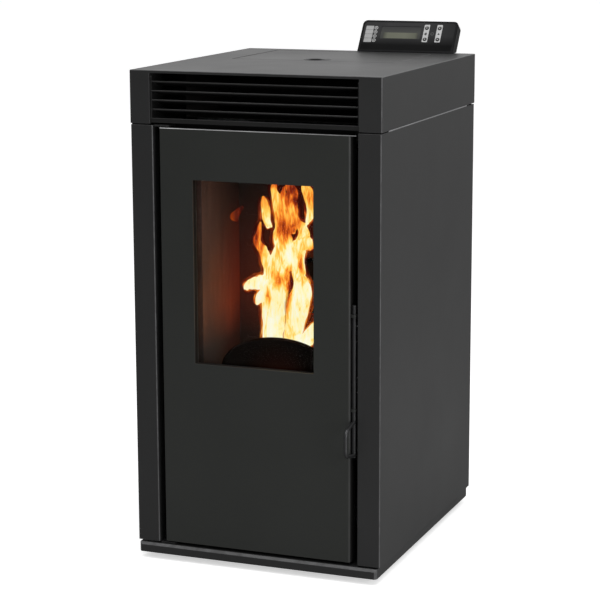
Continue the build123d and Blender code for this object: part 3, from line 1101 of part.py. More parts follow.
def display_window():
    """The screen in the fascia."""
    pane = Pos((WINDOW_U[0] + WINDOW_U[1]) / 2, (WINDOW_V[0] + WINDOW_V[1]) / 2) * RectangleRounded(
        WINDOW_U[1] - WINDOW_U[0] - 2 * SEAT, WINDOW_V[1] - WINDOW_V[0] - 2 * SEAT, 2 - SEAT)
    return console_plane(-FASCIA_T) * extrude(pane, amount=WINDOW_T)


def button_places():
    """Where the keys sit on the face."""
    return [(u, v) for u in BUTTON_U for v in BUTTON_V]


def display_button(index):
    """A round key that stands just proud of the fascia."""
    u, v = button_places()[index]
    low = -FASCIA_T - BUTTON_H + BUTTON_TRAVEL + GAP
    key = console_plane(low) * Pos(u, v) * extrude(Circle(BUTTON_R), amount=-low + 1.0)
    return chamfer(key.edges().filter_by(GeomType.CIRCLE).sort_by(Axis.Z)[-1], 0.5)


def display_bracket():
    """A folded bracket on the rear wall whose shelf holds the console from below."""
    x = (CONSOLE_LEFT + 40, CONSOLE_LEFT + CONSOLE_W - 40)
    wall = (CASE_D, CASE_D + SHELF_T)
    bracket = block(x, wall, (CASE_H - 42, CASE_H))
    bracket += block(x, (CASE_D, CASE_D + 12), (CASE_H - SHELF_T, CASE_H))
    return bracket


# ---------------------------------------------------------------- electrics and rear fittings
def mains_inlet():
    """A panel inlet with a shrouded socket, three pins and a switch bay above it."""
    x = (INLET_X - INLET_W / 2 + SEAT, INLET_X + INLET_W / 2 - SEAT)
    height = (INLET_Z - INLET_H / 2 + SEAT, INLET_Z + INLET_H / 2 - SEAT)
    face = CASE_D - SKIN
    body = block(x, (face - 30, face + 2), height)
    body += block((x[0] - 5, x[1] + 5), (face - SEAT, face + 2), (height[0] - 4, height[1] + 4))
    body -= block((INLET_X - 11.5, INLET_X + 11.5), (face - 16, face + 3), (INLET_Z - 20, INLET_Z - 3))
    body -= block((INLET_X - 10.5, INLET_X + 10.5), (face - 12, face + 3), (INLET_Z + 4, INLET_Z + 21))
    for x0, z0 in ((-6, -14), (6, -14), (0, -8)):
        body += block((INLET_X + x0 - 1, INLET_X + x0 + 1), (face - 17, face - 3), (INLET_Z + z0 - 2, INLET_Z + z0 + 2))
    return body


def rocker_axis():
    """The switch's pivot, as a depth and a height."""
    return (CASE_D - SKIN - 3.0, INLET_Z + 12.5)


def mains_switch():
    """A rocker, shown pressed at its lower end."""
    depth, height = rocker_axis()
    profile = [(-6, -7.2), (3.5, -7.2), (2.2, 0), (3.5, 7.2), (-6, 7.2)]
    rocker = side([(depth + d, height + h) for d, h in profile], (INLET_X - 9.8, INLET_X + 9.8))
    pivot = Axis(at(0, depth, height), (1, 0, 0))
    return rocker.rotate(pivot, -ROCKER_TILT)


def safety_thermostats():
    """A thermostat on the hopper's rear wall and a reset thermostat whose capped stub passes the rear panel."""
    face = CASE_D - SKIN - SEAT
    reset = block((RESET_X - 14, RESET_X + 14), (face - SKIN - 26, face - SKIN - SEAT), (RESET_Z - 16, RESET_Z + 16))
    reset += bar((RESET_X, face - 12, RESET_Z), (RESET_X, face + 6, RESET_Z), 5.0)
    reset += bar((RESET_X, face + SEAT, RESET_Z), (RESET_X, face + 13, RESET_Z), 8.5)
    disc = bar((60, MOUTH_BACK + SEAT, 680), (60, MOUTH_BACK + 4, 680), 12)
    disc += bar((60, MOUTH_BACK + 3, 680), (60, MOUTH_BACK + 14, 680), 8)
    return Compound([reset, disc])


def pressure_switch():
    """A round differential pressure switch with two hose spigots, on the frame's left wing."""
    wing = -FRAME_HALF + FRAME_T + SEAT
    body = bar((wing, 400, 330), (wing + 22, 400, 330), 30)
    body = fillet(body.edges().group_by(Axis.X)[-1], 4)
    for d0 in (-9, 9):
        body += pipe((wing + 21, 400 + d0, 330), (wing + 36, 400 + d0, 330), 3.2, 1.2)
    return body


def control_board():
    """A circuit board on standoffs, with terminals, relays, a transformer and a fuse."""
    wing = FRAME_HALF - FRAME_T - SEAT
    board = block((wing - BOARD_OFF - SEAT, wing - BOARD_OFF + BOARD_T), BOARD_D, BOARD_Z)
    for d0 in (BOARD_D[0] + 8, BOARD_D[1] - 8):
        for z0 in (BOARD_Z[0] + 8, BOARD_Z[1] - 8):
            board += bar((wing - BOARD_OFF + SEAT, d0, z0), (wing, d0, z0), 3)
    length, height = BOARD_D[1] - BOARD_D[0], BOARD_Z[1] - BOARD_Z[0]
    face = wing - BOARD_OFF
    for index in range(5):
        z0 = BOARD_Z[0] + height * (0.12 + 0.16 * index)
        board += block((face - 12, face), (BOARD_D[0] + 4, BOARD_D[0] + 16), (z0, z0 + height * 0.13))
    middle = BOARD_Z[0] + height * 0.25
    board += block((face - 30, face), (BOARD_D[0] + length * 0.2, BOARD_D[0] + length * 0.5), (middle - 18, middle + 18))
    for index in range(3):
        d0 = BOARD_D[0] + length * (0.24 + 0.21 * index)
        board += block((face - 16, face), (d0, d0 + 16), (BOARD_Z[1] - 44, BOARD_Z[1] - 20))
    return board


def rear_screws():
    """Pan-head screws round the rear panel and on the console bracket."""
    face = CASE_D - SKIN - SEAT
    places = [(x, z) for x in (-196.0, 196.0) for z in (60.0, 400.0, 735.0)]
    places += [(x, z) for x in (-70.0, 70.0) for z in (40.0, 735.0)]
    return Compound([screw(x, face, z) for x, z in places])


def screw(x, face, height):
    """One domed screw head with a cross recess, sitting on a rear face."""
    head = bar((x, face, height), (x, face + 2.2, height), SCREW_R)
    head = chamfer(head.edges().group_by(Axis.Y)[-1], 0.8)
    for width, tall in ((4.0, 1.0), (1.0, 4.0)):
        head -= block((x - width / 2, x + width / 2), (face + 1.2, face + 3), (height - tall / 2, height + tall / 2))
    return head


# ---------------------------------------------------------------- feet
def foot_places():
    """The x and depth of each levelling foot."""
    return [(x, d) for d in (FOOT_FRONT, FOOT_BACK) for x in (-FOOT_X, FOOT_X)]


def levelling_foot(index):
    """A tapered pad with a threaded stud that screws into the base plate."""
    x, depth = foot_places()[index]
    axis = Plane(origin=(x, back(depth), 0))
    outline = Polyline((0, 0), (FOOT_R, 0), (FOOT_R, 3), (FOOT_R * 0.6, FOOT_H - GAP), (STUD_R, FOOT_H - GAP),
                       (STUD_R, FOOT_H + STUD_L), (0, FOOT_H + STUD_L), close=True)
    return axis * revolve(Plane.XZ * make_face(outline), Axis.Z)


PARTS = {
    "base_plate": base_plate,
    "side_panel_left": lambda: side_panel(-1),
    "side_panel_right": lambda: side_panel(1),
    "top_cover": top_cover,
    "rear_panel": rear_panel,
    "inner_frame": inner_frame,
    "grille_frame": grille_frame,
    "grille_blades": grille_blades,
    "door_panel": door_panel,
    "door_frame": door_frame,
    "door_glass": door_glass,
    "door_gasket": door_gasket,
    "door_hinge_brackets": door_hinge_brackets,
    "latch_handle": latch_handle,
    "latch_keepers": latch_keepers,
    "firebox": firebox,
    "firebox_linings": firebox_linings,
    "baffle_plate": baffle_plate,
    "hearth_plate": hearth_plate,
    "ember_guard": ember_guard,
    "burn_pot": burn_pot,
    "ash_drawer": ash_drawer,
    "hopper": hopper,
    "hopper_guard": hopper_guard,
    "hopper_seal": hopper_seal,
    "hopper_lid": hopper_lid,
    "lid_finger_cup": lid_finger_cup,
    "lid_hinge_brackets": lid_hinge_brackets,
    "auger_tube": auger_tube,
    "auger_screw": auger_screw,
    "auger_gearmotor": auger_gearmotor,
    "pellet_chute": pellet_chute,
    "exhaust_fan_housing": exhaust_fan_housing,
    "exhaust_impeller": exhaust_impeller,
    "exhaust_fan_motor": exhaust_fan_motor,
    "flue_outlet": flue_outlet,
    "air_intake_pipe": air_intake_pipe,
    "igniter": igniter,
    "room_fan_housing": room_fan_housing,
    "room_fan_wheel": room_fan_wheel,
    "room_fan_motor": room_fan_motor,
    "air_duct": air_duct,
    "display_housing": display_housing,
    "display_fascia": display_fascia,
    "display_window": display_window,
    "display_button_1": lambda: display_button(0),
    "display_button_2": lambda: display_button(1),
    "display_button_3": lambda: display_button(2),
    "display_button_4": lambda: display_button(3),
    "display_bracket": display_bracket,
    "control_board": control_board,
    "mains_inlet": mains_inlet,
    "mains_switch": mains_switch,
    "safety_thermostats": safety_thermostats,
    "pressure_switch": pressure_switch,
    "rear_screws": rear_screws,
    "foot_front_left": lambda: levelling_foot(0),
    "foot_front_right": lambda: levelling_foot(1),
    "foot_rear_left": lambda: levelling_foot(2),
    "foot_rear_right": lambda: levelling_foot(3),
}


def main():
    """Build every piece and write it to its own file."""
    os.makedirs("parts", exist_ok=True)
    for name, make in PARTS.items():
        export_step(make(), f"parts/{name}.step")


main()
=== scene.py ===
"""Looks of a free-standing pellet stove: finishes, fire, console prints and the studio around it."""
import json
import math
import random

import bmesh
import bpy
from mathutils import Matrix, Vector, noise


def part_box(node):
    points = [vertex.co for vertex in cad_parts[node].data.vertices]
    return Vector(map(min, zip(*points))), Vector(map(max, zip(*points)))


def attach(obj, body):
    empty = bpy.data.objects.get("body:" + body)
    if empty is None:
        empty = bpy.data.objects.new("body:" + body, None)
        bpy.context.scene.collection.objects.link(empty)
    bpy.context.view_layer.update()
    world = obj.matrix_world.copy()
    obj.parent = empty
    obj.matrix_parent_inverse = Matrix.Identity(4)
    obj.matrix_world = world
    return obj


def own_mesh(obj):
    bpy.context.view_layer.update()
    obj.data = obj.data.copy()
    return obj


bl_info = {
    "name": "Pellet Stove",
    "version": (1, 0, 0),
    "blender": (4, 5, 0),
    "location": "3D View > Sidebar > Stove",
    "description": "Finishes, fire, console prints and studio for a pellet stove",
    "category": "Object",
}

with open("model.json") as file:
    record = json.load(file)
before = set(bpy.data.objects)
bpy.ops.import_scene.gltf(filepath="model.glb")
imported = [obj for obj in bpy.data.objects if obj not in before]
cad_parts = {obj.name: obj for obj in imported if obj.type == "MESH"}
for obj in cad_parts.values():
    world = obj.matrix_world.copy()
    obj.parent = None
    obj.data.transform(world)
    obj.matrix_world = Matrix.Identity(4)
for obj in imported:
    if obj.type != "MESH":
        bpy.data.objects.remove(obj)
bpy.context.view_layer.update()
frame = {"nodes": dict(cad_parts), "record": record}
SLOT_OF = {part["node"]: part["material_slot"] for part in frame["record"]["subparts"]}
FRONT_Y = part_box("top_cover")[0].y
BASE_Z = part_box("base_plate")[0].z
MM = 0.001


# ------------------------------------------------------------------ places
def spot(x, depth, height):
    """A point in metres from millimetres: depth behind the casing's front, height over the stove's foot."""
    return Vector((x * MM, FRONT_Y + depth * MM, BASE_Z + height * MM))


def extent(node):
    """A node's lowest and highest corner at rest, each as x, depth and height in millimetres."""
    return [(corner.x / MM, (corner.y - FRONT_Y) / MM, (corner.z - BASE_Z) / MM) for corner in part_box(node)]


# ------------------------------------------------------------------ sizes and colours to change
class StoveFinish(bpy.types.PropertyGroup):
    """Colours and gloss of the sheet metal and fittings."""
    casing_colour: bpy.props.FloatVectorProperty(
        name="Casing colour", description="Powder coat of the side panels, cover and lid", subtype="COLOR",
        size=3, min=0.0, max=1.0, default=(0.0205, 0.0206, 0.0208))
    casing_roughness: bpy.props.FloatProperty(
        name="Casing roughness", description="How matt the powder coat is", subtype="FACTOR",
        min=0.0, max=1.0, default=0.46)
    door_colour: bpy.props.FloatVectorProperty(
        name="Door colour", description="Heat-resistant paint of the fire door", subtype="COLOR",
        size=3, min=0.0, max=1.0, default=(0.0215, 0.0230, 0.0210))
    grille_colour: bpy.props.FloatVectorProperty(
        name="Grille colour", description="Paint of the louvre blades and their frame", subtype="COLOR",
        size=3, min=0.0, max=1.0, default=(0.008, 0.008, 0.008))
    grain_size: bpy.props.FloatProperty(
        name="Grain size", description="Width of one pimple of the powder coat", subtype="DISTANCE",
        unit="LENGTH", min=0.0002, max=0.01, default=0.0011)


class StoveFire(bpy.types.PropertyGroup):
    """The fire in the burn pot."""
    brightness: bpy.props.FloatProperty(
        name="Flame brightness", description="Strength of the flames' own light", min=0.0, max=20.0,
        default=1.15)
    # painted firelight: how strongly the fire's light is painted on the linings as a glow
    painted_firelight_strength: bpy.props.FloatProperty(
        name="Painted firelight", description="How strongly the linings beside the fire glow", min=0.0, max=5.0,
        default=1.0)
    lamp_power: bpy.props.FloatProperty(
        name="Fire lamp", description="Power of the warm lamp in the fire", subtype="POWER", unit="POWER",
        min=0.0, max=100.0, default=0.5)
    pellets: bpy.props.IntProperty(
        name="Pellets", description="Number of pellets in the ember bed", min=0, max=400, default=90)
    seed: bpy.props.IntProperty(
        name="Seed", description="Start value of the pellets' places and the flames' ripples", min=0, default=7)


class StoveConsole(bpy.types.PropertyGroup):
    """Prints and screen of the tilted console."""
    film_colour: bpy.props.FloatVectorProperty(
        name="Film colour", description="Light fields printed on the console's face", subtype="COLOR",
        size=3, min=0.0, max=1.0, default=(0.46, 0.46, 0.46))
    screen_colour: bpy.props.FloatVectorProperty(
        name="Screen colour", description="Lit strip of the console's screen", subtype="COLOR",
        size=3, min=0.0, max=1.0, default=(0.185, 0.192, 0.142))


class StoveStage(bpy.types.PropertyGroup):
    """Camera, floor and studio light."""
    lens: bpy.props.FloatProperty(
        name="Lens", description="Focal length on a 36 mm wide sensor, in millimetres", min=10.0, max=400.0,
        default=120.98)
    camera_place: bpy.props.FloatVectorProperty(
        name="Camera place", description="Where the camera stands", subtype="TRANSLATION", unit="LENGTH",
        size=3, default=(1.2952, -3.3560, 1.1488))
    camera_tilt: bpy.props.FloatProperty(
        name="Camera tilt", description="How far the camera looks down", subtype="ANGLE", unit="ROTATION",
        default=-0.1976)
    camera_turn: bpy.props.FloatProperty(
        name="Camera turn", description="How far the camera turns to the left", subtype="ANGLE",
        unit="ROTATION", default=0.3739)
    camera_roll: bpy.props.FloatProperty(
        name="Camera roll", description="How far the camera leans", subtype="ANGLE", unit="ROTATION",
        default=0.0036)
    floor_width: bpy.props.FloatProperty(
        name="Floor width", description="Side of the square floor", subtype="DISTANCE", unit="LENGTH",
        min=1.0, max=200.0, default=90.0)
    ambient: bpy.props.FloatProperty(
        name="Ambient light", description="Strength of the even light from all round", min=0.0, max=4.0,
        default=0.5)


# ------------------------------------------------------------------ node helpers
def put(tree, kind, inputs=None, **settings):
    """Adds a node. Its inputs are given by name or number, as values or as sockets to link."""
    node = tree.nodes.new(kind)
    for name, value in settings.items():
        setattr(node, name, value)
    for name, value in (inputs or {}).items():
        if isinstance(value, bpy.types.NodeSocket):
            tree.links.new(value, node.inputs[name])
        else:
            node.inputs[name].default_value = value
    return node


def maths(tree, operation, *values, clamp=False):
    """A Math node's result."""
    node = put(tree, "ShaderNodeMath", dict(enumerate(values)), operation=operation, use_clamp=clamp)
    return node.outputs[0]


def arrow_maths(tree, operation, *values, result=0):
    """A Vector Math node's result."""
    return put(tree, "ShaderNodeVectorMath", dict(enumerate(values)), operation=operation).outputs[result]


def toned(tree, colour, tone):
    """A colour made lighter or darker by a tone around 1."""
    return put(tree, "ShaderNodeVectorMath", {0: colour, "Scale": tone}, operation="SCALE").outputs[0]


def blend(tree, factor, first, second, mode="MIX"):
    """A colour mixed from two."""
    node = put(tree, "ShaderNodeMix", {0: factor, 6: first, 7: second}, data_type="RGBA", blend_type=mode)
    return node.outputs[2]


def spread(tree, value, low, high, to_low=0.0, to_high=1.0):
    """A value mapped from one range to another, clamped."""
    inputs = {"Value": value, "From Min": low, "From Max": high, "To Min": to_low, "To Max": to_high}
    return put(tree, "ShaderNodeMapRange", inputs).outputs[0]


def ramp(tree, value, stops):
    """A colour ramp of places and colours."""
    node = put(tree, "ShaderNodeValToRGB", {0: value})
    band = node.color_ramp
    for place, colour in stops[2:]:
        band.elements.new(place)
    for element, (place, colour) in zip(band.elements, sorted(stops)):
        element.position = place
        element.color = (*colour, 1.0)
    return node.outputs[0]


def object_place(tree):
    """The object's own coordinates."""
    return put(tree, "ShaderNodeTexCoord").outputs["Object"]


def along_axis(tree, axis):
    """The object's own coordinate along X, Y or Z, given as 0, 1 or 2."""
    return put(tree, "ShaderNodeSeparateXYZ", {0: object_place(tree)}).outputs[axis]


def grain_of(tree, scale, detail=2.0, stretch=(1.0, 1.0, 1.0), rough=0.5, distort=0.0):
    """Noise over the object, finer as its scale goes up, drawn out along an axis where its stretch is small."""
    where = object_place(tree)
    if stretch != (1.0, 1.0, 1.0):
        where = put(tree, "ShaderNodeMapping", {"Vector": where, "Scale": stretch}).outputs[0]
    inputs = {"Vector": where, "Scale": scale, "Detail": detail, "Roughness": rough, "Distortion": distort}
    return put(tree, "ShaderNodeTexNoise", inputs).outputs[0]


def uneven(tree, scale, low, high, detail=3.0):
    """A value that wanders between two levels over the object."""
    return spread(tree, grain_of(tree, scale, detail), 0.3, 0.7, low, high)


def cells_of(tree, scale, where=None):
    """A Voronoi texture's outputs, over the object or over another place."""
    place = object_place(tree) if where is None else where
    return put(tree, "ShaderNodeTexVoronoi", {"Vector": place, "Scale": scale}).outputs


def new_group(name, inputs, outputs):
    """An empty node group with its sockets. Returns its tree, its way in and its way out."""
    tree = bpy.data.node_groups.new(name, "ShaderNodeTree")
    for label, kind, value in inputs:
        socket = tree.interface.new_socket(name=label, in_out="INPUT", socket_type=kind)
        socket.default_value = value
    for label, kind in outputs:
        tree.interface.new_socket(name=label, in_out="OUTPUT", socket_type=kind)
    enter = tree.nodes.new("NodeGroupInput")
    leave = tree.nodes.new("NodeGroupOutput")
    return tree, enter.outputs, leave.inputs


NUMBER, TINT, ARROW = "NodeSocketFloat", "NodeSocketColor", "NodeSocketVector"


def effect(tree, name, inputs=None):
    """Places a shared effect in a material and returns its outputs."""
    return put(tree, "ShaderNodeGroup", inputs, node_tree=bpy.data.node_groups[name]).outputs


def wire(tree, shader, **sockets):
    """Links sockets to a shader's inputs, or sets plain values there. An underscore stands for a space."""
    for label, value in sockets.items():
        socket = shader.inputs[label.replace("_", " ")]
        if isinstance(value, bpy.types.NodeSocket):
            tree.links.new(value, socket)
        else:
            socket.default_value = value


def new_material(name, **sockets):
    """A material with its Principled shader set. Returns the material, its tree and the shader."""
    material = bpy.data.materials.new(name)
    material.use_nodes = True
    tree = material.node_tree
    shader = tree.nodes["Principled BSDF"]
    wire(tree, shader, **sockets)
    return material, tree, shader


def bump(tree, shader, height, depth):
    """Raises the surface by a height of 0 to 1 times a depth in millimetres."""
    raised = put(tree, "ShaderNodeBump", {"Height": height, "Strength": 1.0, "Distance": depth * MM})
    wire(tree, shader, Normal=raised.outputs[0])


# ------------------------------------------------------------------ shared effects
LIT_AND_HANDLED_SIDE = (0.62, -0.30, 0.72)      # wear and the painted edge highlight are strongest where a surface faces this way: up and to the right, towards the lamps


def powder_group():
    """Powder coat: fine pimples, and a slow unevenness of tone and gloss."""
    tree, enter, leave = new_group(
        "powder coat",
        [("Colour", TINT, (0.02, 0.02, 0.02, 1.0)), ("Grain", NUMBER, 900.0), ("Roughness", NUMBER, 0.45)],
        [("Colour", TINT), ("Roughness", NUMBER), ("Height", NUMBER)])
    fine = grain_of(tree, enter["Grain"], 3.0)
    slow = grain_of(tree, 5.0, 3.0)
    tone = spread(tree, slow, 0.3, 0.7, 0.93, 1.07)
    speck = spread(tree, fine, 0.35, 0.75, 0.94, 1.08)
    tree.links.new(toned(tree, enter["Colour"], maths(tree, "MULTIPLY", tone, speck)), leave["Colour"])
    matt = spread(tree, slow, 0.3, 0.7, -0.035, 0.035)
    tree.links.new(maths(tree, "ADD", enter["Roughness"], matt, clamp=True), leave["Roughness"])
    tree.links.new(fine, leave["Height"])


def edge_group():
    """Thin paint and wear along sharp edges and folded corners, with a painted highlight there; strongest where
    a surface faces up and to the right, where the lamps light it and hands and cloths reach.
    """
    tree, enter, leave = new_group("edge wear and highlight", [("Width", NUMBER, MM)], [("Mask", NUMBER)])
    rounded = put(tree, "ShaderNodeBevel", {"Radius": enter["Width"]}, samples=6).outputs[0]
    flat = put(tree, "ShaderNodeNewGeometry").outputs["Normal"]
    sharp = spread(tree, arrow_maths(tree, "DOT_PRODUCT", rounded, flat, result="Value"), 0.995, 0.90)
    sides = put(tree, "ShaderNodeSeparateXYZ", {0: arrow_maths(tree, "ABSOLUTE", flat)}).outputs
    pairs = [maths(tree, "MINIMUM", sides[a], sides[b]) for a, b in ((0, 1), (1, 2), (0, 2))]
    slanting = maths(tree, "MAXIMUM", maths(tree, "MAXIMUM", pairs[0], pairs[1]), pairs[2])
    # folded corners and chamfers take the painted highlight as well
    folded = spread(tree, slanting, 0.2, 0.55)
    # painted highlight: edges that face the lamps, up and to the right, are lit most
    reach = arrow_maths(tree, "DOT_PRODUCT", rounded, LIT_AND_HANDLED_SIDE, result="Value")
    lit_and_handled = spread(tree, reach, 0.1, 0.7, 0.12, 1.0)
    broken = spread(tree, grain_of(tree, 60.0, 3.0), 0.25, 0.6, 0.45, 1.0)
    edge = maths(tree, "MULTIPLY", maths(tree, "MAXIMUM", sharp, folded), lit_and_handled)
    tree.links.new(maths(tree, "MULTIPLY", edge, broken), leave["Mask"])


def brushed_group():
    """Fine rolling lines of bare sheet metal, along X."""
    tree, enter, leave = new_group(
        "rolled lines", [("Scale", NUMBER, 400.0)], [("Tone", NUMBER), ("Height", NUMBER)])
    lines = grain_of(tree, enter["Scale"], 4.0, (0.03, 1.0, 1.0))
    tree.links.new(spread(tree, lines, 0.3, 0.7, 0.86, 1.1), leave["Tone"])
    tree.links.new(lines, leave["Height"])


def spangle_group():
    """Zinc crystals of galvanised sheet, with bent borders."""
    tree, enter, leave = new_group(
        "zinc spangle", [("Size", NUMBER, 110.0)], [("Tone", NUMBER), ("Roughness", NUMBER)])
    where = object_place(tree)
    bent = put(tree, "ShaderNodeTexNoise", {"Vector": where, "Scale": 60.0, "Detail": 2.0}).outputs["Color"]
    moved = arrow_maths(tree, "MULTIPLY_ADD", bent, (0.004, 0.004, 0.004), where)
    crystal = cells_of(tree, enter["Size"], moved)["Color"]
    split = put(tree, "ShaderNodeSeparateColor", {0: crystal}).outputs
    tree.links.new(spread(tree, split[0], 0.0, 1.0, 0.8, 1.12), leave["Tone"])
    tree.links.new(spread(tree, split[1], 0.0, 1.0, 0.3, 0.5), leave["Roughness"])


def cast_group():
    """Sand-cast skin: pits and soft lumps."""
    tree, enter, leave = new_group(
        "cast skin", [("Scale", NUMBER, 260.0)], [("Tone", NUMBER), ("Height", NUMBER)])
    lumps = grain_of(tree, enter["Scale"], 5.0)
    pits = cells_of(tree, enter["Scale"])["Distance"]
    tree.links.new(spread(tree, lumps, 0.3, 0.7, 0.75, 1.25), leave["Tone"])
    tree.links.new(maths(tree, "MULTIPLY_ADD", pits, 0.4, lumps), leave["Height"])


def glow_group():
    """How near a point lies to the fire, from 0 to 1, uneven as flames are."""
    tree, enter, leave = new_group(
        "fire nearness",
        [("Centre", ARROW, (0.0, 0.0, 0.0)), ("Reach", NUMBER, 0.3), ("Flatness", NUMBER, 0.6)],
        [("Mask", NUMBER)])
    off = arrow_maths(tree, "SUBTRACT", object_place(tree), enter["Centre"])
    axes = put(tree, "ShaderNodeSeparateXYZ", {0: off}).outputs
    low = put(tree, "ShaderNodeCombineXYZ", {
        0: axes[0], 1: axes[1], 2: maths(tree, "MULTIPLY", axes[2], enter["Flatness"])}).outputs[0]
    away = arrow_maths(tree, "LENGTH", low, result="Value")
    near = maths(tree, "SUBTRACT", 1.0, maths(tree, "DIVIDE", away, enter["Reach"]), clamp=True)
    near = maths(tree, "POWER", near, 1.6)
    flicker = spread(tree, grain_of(tree, 14.0, 3.0, (1.0, 1.0, 0.35)), 0.3, 0.7, 0.6, 1.25)
    tree.links.new(maths(tree, "MULTIPLY", near, flicker, clamp=True), leave["Mask"])


def soot_group():
    """Soot and heat stains, in soft upright drifts."""
    tree, enter, leave = new_group("soot", [("Amount", NUMBER, 0.6)], [("Mask", NUMBER)])
    drift = grain_of(tree, 7.0, 5.0, (1.0, 1.0, 0.4), 0.6, 0.5)
    fine = grain_of(tree, 180.0, 3.0)
    mixed = maths(tree, "MULTIPLY_ADD", fine, 0.35, drift)
    tree.links.new(maths(tree, "MULTIPLY", spread(tree, mixed, 0.48, 0.85), enter["Amount"]), leave["Mask"])


def moulded_group():
    """Spark-eroded grain of a moulded plastic face."""
    tree, enter, leave = new_group(
        "moulded grain", [("Scale", NUMBER, 1500.0)], [("Height", NUMBER), ("Tone", NUMBER)])
    tree.links.new(grain_of(tree, enter["Scale"], 2.0), leave["Height"])
    tree.links.new(uneven(tree, 30.0, 0.88, 1.12), leave["Tone"])


def knit_group():
    """Knitted sleeve: slanted stitches that cross."""
    tree, enter, leave = new_group("knit", [("Stitch", NUMBER, 420.0)], [("Height", NUMBER)])
    wales = []
    for slant in (math.radians(35), math.radians(-35)):
        turned = put(tree, "ShaderNodeMapping", {
            "Vector": object_place(tree), "Rotation": (0.0, slant, 0.0)}).outputs[0]
        wale = put(tree, "ShaderNodeTexWave", {"Vector": turned, "Scale": enter["Stitch"]})
        wales.append(wale.outputs["Fac"])
    tree.links.new(maths(tree, "MAXIMUM", *wales), leave["Height"])


def shared_effects():
    """Builds each shared effect once."""
    for build in (powder_group, edge_group, brushed_group, spangle_group, cast_group, glow_group,
                  soot_group, moulded_group, knit_group):
        build()


# ------------------------------------------------------------------ finishes
def tinted(tree, colour, mask, other):
    """A colour that turns into another where a mask is 1."""
    first = colour if isinstance(colour, bpy.types.NodeSocket) else (*colour, 1.0)
    return blend(tree, mask, first, (*other, 1.0))


def paint(name, colour, roughness, wear=0.35, wear_and_highlight_colour=(0.10, 0.10, 0.10), pimple=None):
    """Powder coat or sprayed paint over steel, rubbed thin at its edges, with a painted highlight there."""
    material, tree, shader = new_material(name, IOR=1.36)
    coat = effect(tree, "powder coat", {
        "Colour": (*colour, 1.0), "Roughness": roughness,
        "Grain": 1.0 / (pimple or bpy.context.scene.stove_finish.grain_size)})
    edge = effect(tree, "edge wear and highlight", {"Width": 1.3 * MM})["Mask"]
    # the edge mask paints wear and a highlight in the wear colour
    worn = tinted(tree, coat["Colour"], maths(tree, "MULTIPLY", edge, wear), wear_and_highlight_colour)
    wire(tree, shader, Base_Color=worn, Roughness=coat["Roughness"])
    bump(tree, shader, coat["Height"], 0.04)
    return material, tree, shader


def casing_paint():
    """Powder coat of the casing, pale along its edges with wear and a painted highlight."""
    look = bpy.context.scene.stove_finish
    # the pale edge colour is a painted highlight as much as wear
    return paint("casing_paint", look.casing_colour, look.casing_roughness, 0.42, (0.22, 0.22, 0.225))[0]


def door_paint():
    """Satin door paint, with painted shade that makes it dark and matt on the reveal of the window."""
    look = bpy.context.scene.stove_finish
    material, tree, shader = paint("door_paint", look.door_colour, 0.42, pimple=1.4 * MM)
    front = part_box("door_panel")[0].y
    # painted shade in the recess of the window's reveal
    reveal_shade = spread(tree, along_axis(tree, 1), front + 0.4 * MM, front + 3.0 * MM)
    coat, gloss = [shader.inputs[label].links[0].from_socket for label in ("Base Color", "Roughness")]
    wire(tree, shader, Base_Color=tinted(tree, coat, reveal_shade, (0.0035, 0.0032, 0.0030)),
         Roughness=maths(tree, "MAXIMUM", gloss, reveal_shade))
    return material


def grille_paint():
    """Dark paint of the louvres and their frame."""
    # the blades' edges take wear and a painted highlight
    return paint("grille_paint", bpy.context.scene.stove_finish.grille_colour, 0.5, wear=0.5)[0]


def soot_and_firelight(tree, shader, colour, firelight_colour, strength, reach, centre, flatness, share=1.0):
    """Soot on a surface, and the fire's light painted on it as a glow, of which a share may be kept."""
    near = effect(tree, "fire nearness", {"Centre": centre, "Reach": reach, "Flatness": flatness})["Mask"]
    sooty = effect(tree, "soot", {"Amount": 0.7})["Mask"]
    clean = maths(tree, "SUBTRACT", 1.0, maths(tree, "MULTIPLY", sooty, 0.6))
    # painted firelight: the glow that the fire casts on the surface
    warm = maths(tree, "MULTIPLY", maths(tree, "MULTIPLY", near, clean), share)
    wire(tree, shader, Base_Color=tinted(tree, colour, sooty, (0.0040, 0.0030, 0.0026)),
         Emission_Color=toned(tree, firelight_colour, warm),
         Emission_Strength=strength * bpy.context.scene.stove_fire.painted_firelight_strength)


def firebox_paint():
    """Heat-resistant paint of the firebox, dulled by soot."""
    material, tree, shader = new_material("firebox_paint", Roughness=0.6, IOR=1.4)
    skin = effect(tree, "cast skin", {"Scale": 500.0})
    sooty = effect(tree, "soot", {"Amount": 0.7})["Mask"]
    coat = toned(tree, (0.012, 0.0105, 0.0100), skin["Tone"])
    wire(tree, shader, Base_Color=tinted(tree, coat, sooty, (0.006, 0.005, 0.005)))
    bump(tree, shader, skin["Height"], 0.06)
    return material


